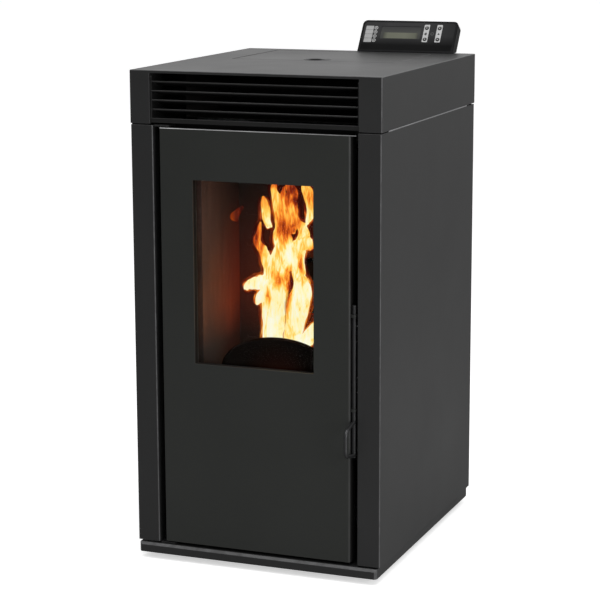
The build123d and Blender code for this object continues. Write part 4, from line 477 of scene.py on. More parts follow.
def lining_board():
    """Flaky board with upright streaks: redder low down, dark at its foot and on the rear plate, with the
    fire's light painted on it as a glow.
    """
    material, tree, shader = new_material("lining_board", Roughness=0.85)
    flakes = put(tree, "ShaderNodeSeparateColor", {0: cells_of(tree, 300.0)["Color"]}).outputs[0]
    streaks = grain_of(tree, 55.0, 2.0, (1.0, 1.0, 0.04))
    tone = maths(tree, "MULTIPLY", spread(tree, flakes, 0.0, 1.0, 0.8, 1.2),
                 spread(tree, streaks, 0.3, 0.7, 0.72, 1.2))
    height = along_axis(tree, 2)
    low_down = spread(tree, height, spot(0, 0, 580).z, spot(0, 0, 480).z)
    over_foot = spread(tree, height, spot(0, 0, 362).z, spot(0, 0, 428).z, 0.12, 1.0)
    normal = put(tree, "ShaderNodeNewGeometry").outputs["Normal"]
    facing = put(tree, "ShaderNodeSeparateXYZ", {0: normal}).outputs[1]
    deep = spread(tree, along_axis(tree, 1), spot(0, 150, 0).y, spot(0, 160, 0).y)
    rear = maths(tree, "MINIMUM", deep, spread(tree, maths(tree, "ABSOLUTE", facing), 0.5, 0.6))
    board = tinted(tree, (0.078, 0.038, 0.029), low_down, (0.103, 0.042, 0.0215))
    board = tinted(tree, board, rear, (0.035, 0.020, 0.013))
    board = toned(tree, board, maths(tree, "MULTIPLY", tone, over_foot))
    share = maths(tree, "MULTIPLY", over_foot, spread(tree, rear, 0.0, 1.0, 1.0, 0.35))
    # the fire's light painted on the linings as a glow, less at the foot and on the rear plate
    soot_and_firelight(tree, shader, board, (0.55, 0.040, 0.012), 0.57, 0.21, spot(0, 222, 412), 0.8, share)
    bump(tree, shader, maths(tree, "MULTIPLY_ADD", streaks, 0.8, flakes), 0.3)
    return material


def cast_iron():
    """Sooty cast iron, with a faint painted glow of the fire's light beside the pot."""
    material, tree, shader = new_material("cast_iron", Roughness=0.75, Specular_IOR_Level=0.03)
    skin = effect(tree, "cast skin", {"Scale": 320.0})
    iron = toned(tree, (0.0042, 0.0020, 0.0009), skin["Tone"])
    # painted firelight on the iron beside the pot
    soot_and_firelight(tree, shader, iron, (0.5, 0.06, 0.01), 0.08, 0.085, spot(2, 150, 310), 1.0)
    bump(tree, shader, skin["Height"], 0.25)
    return material


def galvanised_steel():
    """Zinc-coated sheet with its crystals."""
    material, tree, shader = new_material("galvanised_steel", Metallic=1.0)
    zinc = effect(tree, "zinc spangle", {"Size": 95.0})
    wire(tree, shader, Base_Color=toned(tree, (0.56, 0.575, 0.585), zinc["Tone"]), Roughness=zinc["Roughness"])
    bump(tree, shader, grain_of(tree, 700.0, 2.0), 0.02)
    return material


def bare_metal(name, colour, roughness, metallic=1.0, stain=0.0, scale=400.0):
    """Rolled or turned metal with fine lines, handling marks, and worn edges with a painted highlight."""
    material, tree, shader = new_material(name, Metallic=metallic)
    lines = effect(tree, "rolled lines", {"Scale": scale})
    marks = grain_of(tree, 24.0, 4.0)
    shade = toned(tree, colour, lines["Tone"])
    if stain:
        mask = maths(tree, "MULTIPLY", spread(tree, marks, 0.5, 0.75), stain)
        shade = tinted(tree, shade, mask, [part * 0.45 for part in colour])
    edge = effect(tree, "edge wear and highlight", {"Width": 0.6 * MM})["Mask"]
    # worn edges, with a painted highlight where they face the lamps
    bright = [min(1.0, part * 1.6 + 0.04) for part in colour]
    wire(tree, shader, Base_Color=tinted(tree, shade, maths(tree, "MULTIPLY", edge, 0.5), bright),
         Roughness=spread(tree, marks, 0.3, 0.7, roughness - 0.07, roughness + 0.09))
    bump(tree, shader, lines["Height"], 0.02)
    return material


def moulded(name, colour, roughness, scale=1500.0, depth=0.03, gloss=0.5, rim_highlight=None):
    """Moulded plastic or rubber with its fine grain, with a painted highlight along its edges where an edge
    highlight colour is given.
    """
    material, tree, shader = new_material(name, Specular_IOR_Level=gloss)
    grain = effect(tree, "moulded grain", {"Scale": scale})
    shade = toned(tree, colour, grain["Tone"])
    if rim_highlight:
        edge = effect(tree, "edge wear and highlight", {"Width": 0.9 * MM})["Mask"]
        shade = tinted(tree, shade, maths(tree, "MULTIPLY", edge, 0.7), rim_highlight)
    wire(tree, shader, Base_Color=shade,
         Roughness=uneven(tree, 45.0, roughness - 0.05, roughness + 0.06))
    bump(tree, shader, grain["Height"], depth)
    return material


def fascia_plastic():
    """Satin film of the console's face, with painted light and shade: it is lit most high up and to the left,
    and fades low down and towards its right end.
    """
    material, tree, shader = new_material("fascia_plastic", Specular_IOR_Level=0.05)
    grain = effect(tree, "moulded grain", {"Scale": 2200.0})
    low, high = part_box("display_fascia")
    rise, width = high.z - low.z, high.x - low.x
    # painted light and shade over the face
    upward = spread(tree, along_axis(tree, 2), low.z + 0.2 * rise, low.z + 0.55 * rise, 0.12, 1.0)
    rightward = spread(tree, along_axis(tree, 0), low.x + 0.62 * width, high.x, 1.0, 0.6)
    lit = maths(tree, "MULTIPLY", grain["Tone"], maths(tree, "MULTIPLY", upward, rightward))
    wire(tree, shader, Base_Color=toned(tree, (0.034, 0.034, 0.035), lit),
         Roughness=uneven(tree, 45.0, 0.38, 0.5))
    bump(tree, shader, grain["Height"], 0.015)
    return material


def screen():
    """Smoked window of the display, palest half way up."""
    material, tree, shader = new_material("screen", Specular_IOR_Level=0.2, Roughness=0.3)
    low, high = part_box("display_window")
    wire(tree, shader, Base_Color=ramp(tree, spread(tree, along_axis(tree, 2), low.z, high.z), [
        (0.0, (0.024, 0.025, 0.022)), (1.0, (0.014, 0.014, 0.015)), (0.5, (0.036, 0.037, 0.033))]))
    bump(tree, shader, grain_of(tree, 400.0, 2.0), 0.01)
    return material


def board_green():
    """Solder mask with its tracks, and dark parts where something stands on the board."""
    material, tree, shader = new_material("board_green", Roughness=0.35, Coat_Weight=0.3)
    turned = put(tree, "ShaderNodeMapping", {
        "Vector": object_place(tree), "Rotation": (math.pi / 2, 0.0, math.pi / 2)}).outputs[0]
    tracks = put(tree, "ShaderNodeTexBrick", {
        "Vector": turned, "Scale": 90.0, "Mortar Size": 0.012, "Color1": (0.012, 0.085, 0.03, 1.0),
        "Color2": (0.014, 0.10, 0.036, 1.0), "Mortar": (0.03, 0.19, 0.075, 1.0)}).outputs[0]
    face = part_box("control_board")[1].x - 9.7 * MM
    raised = spread(tree, along_axis(tree, 0), face, face - 0.5 * MM)
    wire(tree, shader, Base_Color=tinted(tree, tracks, raised, (0.03, 0.03, 0.032)))
    bump(tree, shader, grain_of(tree, 500.0, 2.0), 0.03)
    return material


def rope_fibre():
    """Knitted fibre rope, dusty from use."""
    material, tree, shader = new_material("rope_fibre", Roughness=0.95, Sheen_Weight=0.25)
    stitch = effect(tree, "knit", {"Stitch": 260.0})["Height"]
    tone = maths(tree, "MULTIPLY", spread(tree, stitch, 0.2, 1.0, 0.45, 1.15),
                 uneven(tree, 35.0, 0.75, 1.15, 4.0))
    wire(tree, shader, Base_Color=toned(tree, (0.13, 0.125, 0.12), tone))
    bump(tree, shader, stitch, 0.6)
    return material


def glass_ceramic():
    """Clear ceramic glass. Light from the room and the fire passes straight through it."""
    material, tree, shader = new_material(
        "glass_ceramic", Roughness=0.0, IOR=1.08, Transmission_Weight=1.0)
    clear = put(tree, "ShaderNodeBsdfTransparent", {0: (0.80, 0.77, 0.74, 1.0)})
    path = put(tree, "ShaderNodeLightPath").outputs
    passing = maths(tree, "MAXIMUM", path["Is Shadow Ray"], path["Is Diffuse Ray"])
    smoke = spread(tree, grain_of(tree, 9.0, 3.0), 0.45, 0.8, 0.0, 0.5)
    wire(tree, shader, Base_Color=tinted(tree, (0.97, 0.965, 0.95), smoke, (0.85, 0.82, 0.78)))
    both = put(tree, "ShaderNodeMixShader", {0: passing, 1: shader.outputs[0], 2: clear.outputs[0]})
    tree.links.new(both.outputs[0], tree.nodes["Material Output"].inputs["Surface"])
    return material


BARE_METALS = {
    "zinc_steel": {"colour": (0.52, 0.53, 0.53), "roughness": 0.33},
    "dark_steel": {"colour": (0.034, 0.034, 0.035), "roughness": 0.42, "metallic": 0.6, "stain": 0.5},
    "stainless": {"colour": (0.55, 0.545, 0.53), "roughness": 0.28, "stain": 0.2},
    "motor_metal": {"colour": (0.34, 0.345, 0.35), "roughness": 0.45, "stain": 0.3, "scale": 150.0},
}
MOULDINGS = {
    "console_plastic": {"colour": (0.006, 0.006, 0.0065), "roughness": 0.42, "gloss": 0.08},
    # the pale edge of the cup is a painted highlight
    "cup_plastic": {
        "colour": (0.006, 0.006, 0.006), "roughness": 0.45, "gloss": 0.3, "rim_highlight": (0.30, 0.30, 0.31)},
    "socket_plastic": {"colour": (0.022, 0.022, 0.023), "roughness": 0.45},
    "motor_plastic": {"colour": (0.035, 0.035, 0.037), "roughness": 0.5},
    "foot_plastic": {"colour": (0.02, 0.02, 0.02), "roughness": 0.55},
    "seal_rubber": {"colour": (0.018, 0.018, 0.018), "roughness": 0.7, "scale": 900.0, "depth": 0.06},
    "button_rubber": {"colour": (0.012, 0.012, 0.012), "roughness": 0.55, "scale": 1800.0},
}
OTHER_FINISHES = {build.__name__: build for build in (
    casing_paint, door_paint, grille_paint, firebox_paint, lining_board, cast_iron, galvanised_steel,
    fascia_plastic, screen, board_green, rope_fibre, glass_ceramic)}
FINISHED = {}


def finish_named(slot):
    """The finish of one material slot, built when it is first needed."""
    if slot not in FINISHED:
        if slot in BARE_METALS:
            FINISHED[slot] = bare_metal(slot, **BARE_METALS[slot])
        elif slot in MOULDINGS:
            FINISHED[slot] = moulded(slot, **MOULDINGS[slot])
        else:
            FINISHED[slot] = OTHER_FINISHES[slot]()
    return FINISHED[slot]


def dress(*nodes, finish=None):
    """Gives CAD nodes the finish of their slot, or another one."""
    for node in nodes:
        material = finish_named(finish or SLOT_OF[node])
        slots = frame["nodes"][node].material_slots
        if not slots:
            frame["nodes"][node].data.materials.append(material)
        for slot in slots:
            slot.material = material


# ------------------------------------------------------------------ mesh helpers
def add_object(name, data):
    """Puts an object in the scene."""
    made = bpy.data.objects.new(name, data)
    bpy.context.scene.collection.objects.link(made)
    return made


def add_piece(name, mesh, material, body):
    """Puts a mesh in the scene, riding on a body."""
    piece = add_object(name, mesh)
    mesh.materials.append(material)
    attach(piece, body)
    return piece


def mesh_from(name, shape):
    """Turns a bmesh into a mesh, and lets go of it."""
    mesh = bpy.data.meshes.new(name)
    shape.to_mesh(mesh)
    shape.free()
    return mesh


def settled_mesh(name, made):
    """The mesh that an object ends up with. The object itself is taken away."""
    settled = made.evaluated_get(bpy.context.evaluated_depsgraph_get())
    mesh = bpy.data.meshes.new_from_object(settled)
    mesh.name = name
    bpy.data.objects.remove(made)
    return mesh


def ring_faces(shape, rings):
    """Joins rings of vertices one to the next, and closes both ends."""
    sides = len(rings[0])
    for near, far in zip(rings, rings[1:]):
        for step in range(sides):
            after = (step + 1) % sides
            shape.faces.new((near[step], near[after], far[after], far[step]))
    shape.faces.new(reversed(rings[0]))
    shape.faces.new(rings[-1])


def tube(shape, centres, radii, sides=16, depth_share=0.6):
    """Adds a closed lobed tube that follows upright or slanting centres to a bmesh."""
    rings = []
    count = len(centres)
    for index, (centre, radius) in enumerate(zip(centres, radii)):
        along = (centres[min(index + 1, count - 1)] - centres[max(index - 1, 0)]).normalized()
        across = Vector((along.z, 0.0, -along.x))
        across = across.normalized() if across.length > 1e-6 else Vector((1.0, 0.0, 0.0))
        inward = along.cross(across)
        ring = []
        for step in range(sides):
            angle = math.tau * step / sides
            sideways = across * radius * math.cos(angle)
            ring.append(shape.verts.new(centre + sideways + inward * radius * depth_share * math.sin(angle)))
        rings.append(ring)
    ring_faces(shape, rings)


def smooth_run(points, steps):
    """Points on a smooth line through given points, and the radius at each."""
    run = []
    for index in range(len(points) - 1):
        before = points[max(index - 1, 0)]
        start, end = points[index], points[index + 1]
        after = points[min(index + 2, len(points) - 1)]
        for step in range(steps):
            t = step / steps
            run.append([
                0.5 * (2 * b + (c - a) * t + (2 * a - 5 * b + 4 * c - d) * t * t
                       + (3 * b - a - 3 * c + d) * t ** 3)
                for a, b, c, d in zip(before, start, end, after)])
    run.append(list(points[-1]))
    return run


def box_line(u0, v0, u1, v1, corner=0.0):
    """A rectangle's outline, with rounded corners."""
    if not corner:
        return [(u0, v0), (u1, v0), (u1, v1), (u0, v1)]
    line = []
    for cu, cv, start in ((u1 - corner, v0 + corner, -90), (u1 - corner, v1 - corner, 0),
                          (u0 + corner, v1 - corner, 90), (u0 + corner, v0 + corner, 180)):
        for step in range(5):
            angle = math.radians(start + 22.5 * step)
            line.append((cu + corner * math.cos(angle), cv + corner * math.sin(angle)))
    return line


def round_line(u, v, radius, sides=28):
    """A circle's outline."""
    return [(u + radius * math.cos(math.tau * step / sides), v + radius * math.sin(math.tau * step / sides))
            for step in range(sides)]


def strip_piece(name, outline, low, high, material, body, bevel=0.0):
    """An upright strip on a plan outline of x and depth in millimetres, between two heights."""
    shape = bmesh.new()
    foot = shape.faces.new([shape.verts.new(spot(x, depth, low)) for x, depth in outline])
    raised = bmesh.ops.extrude_face_region(shape, geom=[foot])["geom"]
    corners = [part for part in raised if isinstance(part, bmesh.types.BMVert)]
    bmesh.ops.translate(shape, verts=corners, vec=Vector((0.0, 0.0, (high - low) * MM)))
    bmesh.ops.recalc_face_normals(shape, faces=shape.faces)
    if bevel:
        bmesh.ops.bevel(shape, geom=shape.edges[:], offset=bevel * MM, segments=2, affect="EDGES", profile=0.5)
    return add_piece(name, mesh_from(name, shape), material, body)


HEAD_SIDES = 18
HEAD_RINGS = (
    # radius and height as shares of the head's radius, and whether the ring has six sides
    (1.0, -0.1, False), (1.0, 0.25, False), (0.9, 0.45, False), (0.68, 0.6, False), (0.42, 0.6, True),
    (0.38, 0.2, True))


def screw_heads(name, places, radius, body):
    """Pan heads with a six-sided socket, seated on faces that look to the rear."""
    shape = bmesh.new()
    for place in places:
        rings = []
        for share, lift, six in HEAD_RINGS:
            ring = []
            for step in range(HEAD_SIDES):
                angle = math.tau * step / HEAD_SIDES
                reach = share * radius / (math.cos(angle % (math.pi / 3) - math.pi / 6) if six else 1.0)
                offset = Vector((reach * math.cos(angle), lift * radius, reach * math.sin(angle)))
                ring.append(shape.verts.new(place + offset * MM))
            rings.append(ring)
        ring_faces(shape, rings)
    bmesh.ops.recalc_face_normals(shape, faces=shape.faces)
    return add_piece(name, mesh_from(name, shape), finish_named("zinc_steel"), body)


# ------------------------------------------------------------------ operators
SEAM = 2.5                  # height of the seam between the lower panels and the cover
LINER_INSET, LINER_THICK, LINER_FRONT, LINER_BACK = 1.6, 0.08, 41.0, 484.0
TAPE_INSET, TAPE_THICK, TAPE_HIGH, TAPE_BELOW, TAPE_INNER, TAPE_BACK = 1.8, 3.0, 11.0, 4.0, 192.5, 38.0


class STOVE_OT_casing(bpy.types.Operator):
    """Powder coat on the casing, zinc on its rear"""
    bl_idname = "stove.casing"
    bl_label = "Casing"

    def execute(self, context):
        dress("base_plate", "side_panel_left", "side_panel_right", "top_cover", "rear_panel", "rear_screws",
              "inner_frame")
        self.seam_tape()
        self.seam_liner()
        return {"FINISHED"}

    def seam_liner(self):
        """A pale strip in the seam along each side, on the cover's inner joggle: a painted highlight along the
        seam.
        """
        middle = extent("side_panel_left")[1][2] + SEAM / 2
        face = extent("side_panel_right")[1][0] - LINER_INSET
        outline = box_line(face, LINER_FRONT, face + LINER_THICK, LINER_BACK)
        # painted highlight: the pale strip makes the seam read as a lit line
        bare = bare_metal("seam_highlight_metal", (0.42, 0.42, 0.43), 0.4, metallic=0.2)
        self.both_sides("seam_liner", outline, middle - SEAM, middle + SEAM, bare, "zinc_steel")

    def seam_tape(self):
        """Black foam tape behind the seam between the lower panels and the cover, round each front corner."""
        material, tree, shader = new_material("foam_tape", Roughness=0.95, Specular_IOR_Level=0.1)
        pores = cells_of(tree, 900.0)["Distance"]
        tone = spread(tree, pores, 0.0, 0.6, 0.6, 1.3)
        wire(tree, shader, Base_Color=toned(tree, (0.008, 0.008, 0.008), tone))
        bump(tree, shader, pores, 0.2)
        low = extent("side_panel_left")[1][2] - TAPE_BELOW
        outer = extent("side_panel_right")[1][0] - TAPE_INSET
        inner = outer - TAPE_THICK
        behind = TAPE_INSET + TAPE_THICK
        outline = [(TAPE_INNER, TAPE_INSET), (outer, TAPE_INSET), (outer, TAPE_BACK), (inner, TAPE_BACK),
                   (inner, behind), (TAPE_INNER, behind)]
        self.both_sides("seam_tape", outline, low, low + TAPE_HIGH, material, "seal_rubber")

    def both_sides(self, name, outline, low, high, material, slot):
        """The same strip on the left and on the right."""
        for side, hand in (("left", -1), ("right", 1)):
            strip_piece(f"{name}_{side}", [(x * hand, depth) for x, depth in outline], low, high, material,
                        "stove_body")


SILL_REACH, SILL_FRONT, SILL_BACK, SILL_DROP, SILL_LAP = 184.4, 31.2, 33.0, 22.0, 0.3


class STOVE_OT_grille(bpy.types.Operator):
    """Dark paint on the louvre blades and their frame"""
    bl_idname = "stove.grille"
    bl_label = "Grille"

    def execute(self, context):
        dress("grille_frame", "grille_blades")
        low = extent("grille_frame")[0][2]
        outline = box_line(-SILL_REACH, SILL_FRONT, SILL_REACH, SILL_BACK)
        strip_piece("grille_sill", outline, low - SILL_DROP, low + SILL_LAP, finish_named("grille_paint"),
                    "stove_body", bevel=0.3)
        return {"FINISHED"}


DOOR_SCREWS = [(x, height) for x in (-123.8, 121.3) for height in (86, 210, 300, 380, 507, 640)]
DOOR_SCREWS += [(x, height) for x in (-62, 0, 62) for height in (80, 332, 690)]
DOOR_SCREW_RADIUS = 3.6


class STOVE_OT_door(bpy.types.Operator):
    """Paint, glass and rope seal of the fire door"""
    bl_idname = "stove.door"
    bl_label = "Fire door"

    def execute(self, context):
        dress("door_panel", "door_frame", "door_glass", "door_gasket", "door_hinge_brackets")
        self.top_edge()
        back = extent("door_frame")[1][1]
        screw_heads("door_frame_screws", [spot(x, back, height) for x, height in DOOR_SCREWS],
                    DOOR_SCREW_RADIUS, "door")
        return {"FINISHED"}

    def top_edge(self):
        """The folded top edge of the door, with a painted highlight that is brightest at the left, towards the
        hinge, and fades to the right.
        """
        low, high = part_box("door_panel")
        material, tree, shader = new_material("painted_edge_highlight", Roughness=0.35)
        # painted highlight: bright at the left end, fading to the right
        along = spread(tree, along_axis(tree, 0), low.x, high.x, 1.0, 0.35)
        tone = maths(tree, "MULTIPLY", along, uneven(tree, 40.0, 0.75, 1.1, 4.0))
        wire(tree, shader, Base_Color=toned(tree, (0.62, 0.62, 0.63), tone))
        bump(tree, shader, grain_of(tree, 900.0, 2.0), 0.01)
        (left, front, _), (right, _, top) = extent("door_panel")
        outline = box_line(left + 1.0, front - 0.1, right - 1.0, front + 1.6)
        strip_piece("door_top_edge", outline, top - 0.6, top + 0.5, material, "door")


class STOVE_OT_latch(bpy.types.Operator):
    """Blackened rod with its bow, and its keepers"""
    bl_idname = "stove.latch"
    bl_label = "Latch"

    def execute(self, context):
        dress("latch_handle", "latch_keepers")
        return {"FINISHED"}


class STOVE_OT_firebox(bpy.types.Operator):
    """Sooty steel, linings and castings around the fire"""
    bl_idname = "stove.firebox"
    bl_label = "Firebox"

    def execute(self, context):
        dress("firebox", "firebox_linings", "baffle_plate", "hearth_plate", "ember_guard", "burn_pot",
              "ash_drawer")
        return {"FINISHED"}


FLAME_STROKES = {
    # x, depth, height, half width, heat
    "core_left": [(-16, 150, 300, 16, 1.0), (-26, 150, 340, 17, 1.0), (-30, 150, 369, 18, 1.0),
                  (-26, 150, 394, 20, 0.98), (-28, 150, 430, 22, 0.86), (-30, 150, 454, 23, 0.9),
                  (-23, 150, 479, 22, 0.84), (-13, 150, 503, 23, 0.92), (-7, 150, 520, 21, 0.95),
                  (-4, 150, 537, 17, 0.85), (-7, 150, 558, 14, 0.66), (-7, 150, 580, 11, 0.72),
                  (-10, 150, 603, 9, 0.7), (-7, 150, 622, 6.5, 0.62), (-3, 150, 641, 3, 0.5)],
    "core_right": [(12, 146, 300, 16, 1.0), (13, 146, 340, 17, 1.0), (13, 146, 371, 17, 1.0),
                   (15, 146, 398, 18, 0.95), (20, 146, 422, 20, 0.9), (26, 146, 447, 21, 1.0),
                   (28, 146, 466, 17, 0.95), (23, 146, 487, 13, 0.85), (20, 146, 509, 13, 0.95),
                   (22, 146, 530, 15, 1.0), (30, 146, 547, 12.5, 0.9), (33, 146, 562, 10, 0.75),
                   (23, 146, 578, 7.5, 0.62), (15, 146, 594, 4, 0.5)],
    "core_mid": [(-2, 157, 300, 14, 0.9), (-1, 157, 360, 14, 0.86), (1, 157, 400, 14, 0.78),
                 (3, 157, 440, 12, 0.6), (6, 157, 476, 8, 0.5), (8, 157, 500, 4, 0.5)],
    "right_foot": [(20, 140, 372, 14, 1.0), (39, 138, 371, 12.6, 0.95), (51, 138, 387, 11, 0.98),
                   (65, 138, 404, 9, 0.9), (76, 138, 421, 5, 0.7)],
    "left_arm": [(-16, 144, 458, 15, 0.9), (-28, 140, 461, 15, 0.9), (-44, 140, 470, 13, 0.92),
                 (-61, 140, 466, 10, 0.98), (-72, 140, 461, 7.5, 1.0), (-79, 140, 458, 3, 0.9)],
    "left_drip": [(-30, 138, 458, 11, 0.95), (-46, 136, 443, 8.7, 0.98), (-53, 136, 431, 2.6, 0.9)],
    "left_lobe": [(-24, 150, 488, 9, 0.7), (-36, 150, 497, 8.7, 0.6), (-43, 150, 520, 9.2, 0.58),
                  (-53, 150, 535, 7.7, 0.5), (-57, 150, 547, 6.1, 0.5), (-53, 150, 563, 4.1, 0.48),
                  (-50, 150, 577, 2, 0.4)],
    "left_streak": [(-35, 158, 565, 5.1, 0.9), (-42, 158, 579, 7.6, 0.9), (-43, 158, 595, 8.1, 0.8),
                    (-46, 158, 610, 6.1, 0.62), (-48, 158, 621, 2.5, 0.5)],
    "top_left": [(-12, 152, 535, 12, 0.8), (-14, 152, 551, 12.7, 0.72), (-10, 152, 575, 11.6, 0.78),
                 (-17, 152, 600, 10.6, 0.74), (-21, 152, 621, 9.1, 0.66), (-25, 152, 635, 6.6, 0.58),
                 (-21, 152, 647, 3, 0.45)],
    "top_mid": [(6, 148, 560, 10, 0.52), (13, 144, 598, 11.5, 0.6), (8, 144, 617, 13, 0.62),
                (13, 144, 631, 10.5, 0.56), (8, 144, 643, 8, 0.5), (11, 144, 662, 3.5, 0.42)],
    "right_lobe": [(22, 140, 536, 12, 0.9), (28, 140, 539, 12, 0.85), (42, 140, 547, 11, 0.8),
                   (50, 140, 533, 4.5, 0.7)],
    "right_streak": [(37, 148, 576, 4, 0.75), (44, 148, 593, 7.5, 0.88), (44, 148, 611, 8, 0.7),
                     (41, 148, 630, 9.5, 0.56), (37, 148, 644, 8, 0.62), (39, 148, 663, 3.5, 0.5)],
    "hook": [(22, 138, 540, 9, 0.95), (28, 138, 532, 7.5, 0.9), (30, 138, 511, 6.5, 0.85),
             (36, 138, 493, 3.5, 0.98), (34, 138, 486, 1.5, 0.9)],
}
COOL_SPOTS = [
    # x, height, half width, half height, drop in heat
    (2, 566, 18, 20, 0.42), (-12, 476, 7, 13, 0.42), (8, 470, 7, 22, 0.46), (-30, 444, 7, 14, 0.26),
    (14, 640, 22, 16, 0.16), (30, 506, 5, 14, 0.36), (24, 618, 12, 10, 0.26), (4, 440, 4, 26, 0.24),
]
STRAY = [(-93, 150, 576, 3.2, 0.20), (-101, 150, 582, 7.6, 0.25), (-93, 150, 591, 6.2, 0.25),
         (-83, 150, 602, 2.4, 0.2)]
FLAMES = list(FLAME_STROKES.values())
FLAME_LAYERS = (
    # name, strokes, growth, distance set back, drop in heat, opacity, strength
    ("flame_body", FLAMES, 0.0, 0.0, 0.0, 1.0, 1.0), ("flame_rim", FLAMES, 2.4, 9.0, 0.40, 0.65, 1.0),
    ("flame_haze", FLAMES, 6.5, 14.0, 0.62, 0.35, 0.8), ("flame_stray", [STRAY], 0.0, 0.0, 0.0, 0.5, 0.8))
VOXEL, QUICK_VOXEL = 0.0016, 0.0022     # sizes of the remesh, in metres
SHIFT_LEFT, SHIFT_DOWN = 0.4, 0.22      # per millimetre set back, so that the camera sees the layers in line


def flame_mesh(name, strokes, grow, back, voxel):
    """One closed flame body, melted together from tapering strokes, with ripples that rise with it."""
    shape = bmesh.new()
    for stroke in strokes:
        run = smooth_run(stroke, 5)
        centres = [spot(x - SHIFT_LEFT * back, depth + back, height - SHIFT_DOWN * back)
                   for x, depth, height, *_ in run]
        tube(shape, centres, [max(sample[3] + grow, 0.8) * MM for sample in run])
    raw = add_object(name + "_strokes", mesh_from(name + "_strokes", shape))
    melt = raw.modifiers.new("melt", "REMESH")
    melt.mode = "VOXEL"
    melt.voxel_size = voxel
    ease = raw.modifiers.new("ease", "SMOOTH")
    ease.factor = 0.5
    ease.iterations = 4
    body = settled_mesh(name, raw)
    for vertex in body.vertices:
        place = vertex.co * 1000.0
        wave = noise.noise_vector(Vector((place.x / 13.0, place.y / 13.0, place.z / 34.0)))
        lick = noise.noise_vector(Vector((place.x / 5.5, place.y / 6.0, place.z / 15.0 + 9.0)))
        vertex.co += Vector((wave.x * 2.6 + lick.x * 1.5, wave.y * 1.6, lick.z * 2.4)) * MM
    body.shade_smooth()
    return body


def flame_heat(mesh, strokes, drop=0.0):
    """Writes each point's heat: that of the nearest stroke, less the cool spots."""
    samples = [sample for stroke in strokes for sample in smooth_run(stroke, 4)]
    layer = mesh.attributes.new("flame_heat", "FLOAT", "POINT")
    for index, vertex in enumerate(mesh.vertices):
        x = vertex.co.x / MM
        height = (vertex.co.z - BASE_Z) / MM
        total = weight = 0.0
        for sx, _, sh, width, heat in samples:
            gap = ((x - sx) ** 2 + (height - sh) ** 2) / (width * width + 4.0)
            pull = math.exp(-min(gap, 30.0))
            total += pull * heat
            weight += pull
        heat = total / weight if weight > 1e-9 else 0.5
        for cx, ch, half_w, half_h, less in COOL_SPOTS:
            gap = ((x - cx) / half_w) ** 2 + ((height - ch) / half_h) ** 2
            heat -= less * math.exp(-gap)
        layer.data[index].value = heat - drop


def flame_material(name, opacity, strength):
    """Flame: colour by heat, with filaments that run upwards."""
    material, tree, shader = new_material(
        name, Base_Color=(0.0, 0.0, 0.0, 1.0), Roughness=1.0, Specular_IOR_Level=0.0)
    heat = put(tree, "ShaderNodeAttribute", attribute_name="flame_heat").outputs["Fac"]
    threads = grain_of(tree, 150.0, 4.0, (1.0, 0.6, 0.2), 0.6, 1.4)
    wide = grain_of(tree, 46.0, 3.0, (1.0, 0.6, 0.32), 0.55, 0.9)
    stir = maths(tree, "ADD", spread(tree, threads, 0.28, 0.72, -0.22, 0.13),
                 spread(tree, wide, 0.3, 0.7, -0.24, 0.13))
    wire(tree, shader, Emission_Color=ramp(tree, maths(tree, "ADD", heat, stir, clamp=True), [
        (0.0, (0.045, 0.004, 0.003)), (1.0, (0.88, 0.87, 0.70)), (0.20, (0.20, 0.018, 0.006)),
        (0.38, (0.62, 0.10, 0.010)), (0.52, (0.93, 0.30, 0.030)), (0.66, (1.0, 0.60, 0.10)),
        (0.80, (0.93, 0.83, 0.41)), (0.9, (0.89, 0.85, 0.56))]),
        Emission_Strength=strength * bpy.context.scene.stove_fire.brightness)
    if opacity < 1.0:
        wire(tree, shader, Alpha=spread(tree, threads, 0.25, 0.7, 0.4 * opacity, 1.25 * opacity))
    material.cycles.emission_sampling = "NONE"
    return material


PELLET_RADIUS = 3.0
PELLET_LENGTHS = (11.0, 20.0)
BED_REACH = (29.0, 19.0)                # half the bed's width and depth
BED_LOW, BED_HIGH = 10.0, 48.0          # the lowest layer over the pot's foot, and the bed's height


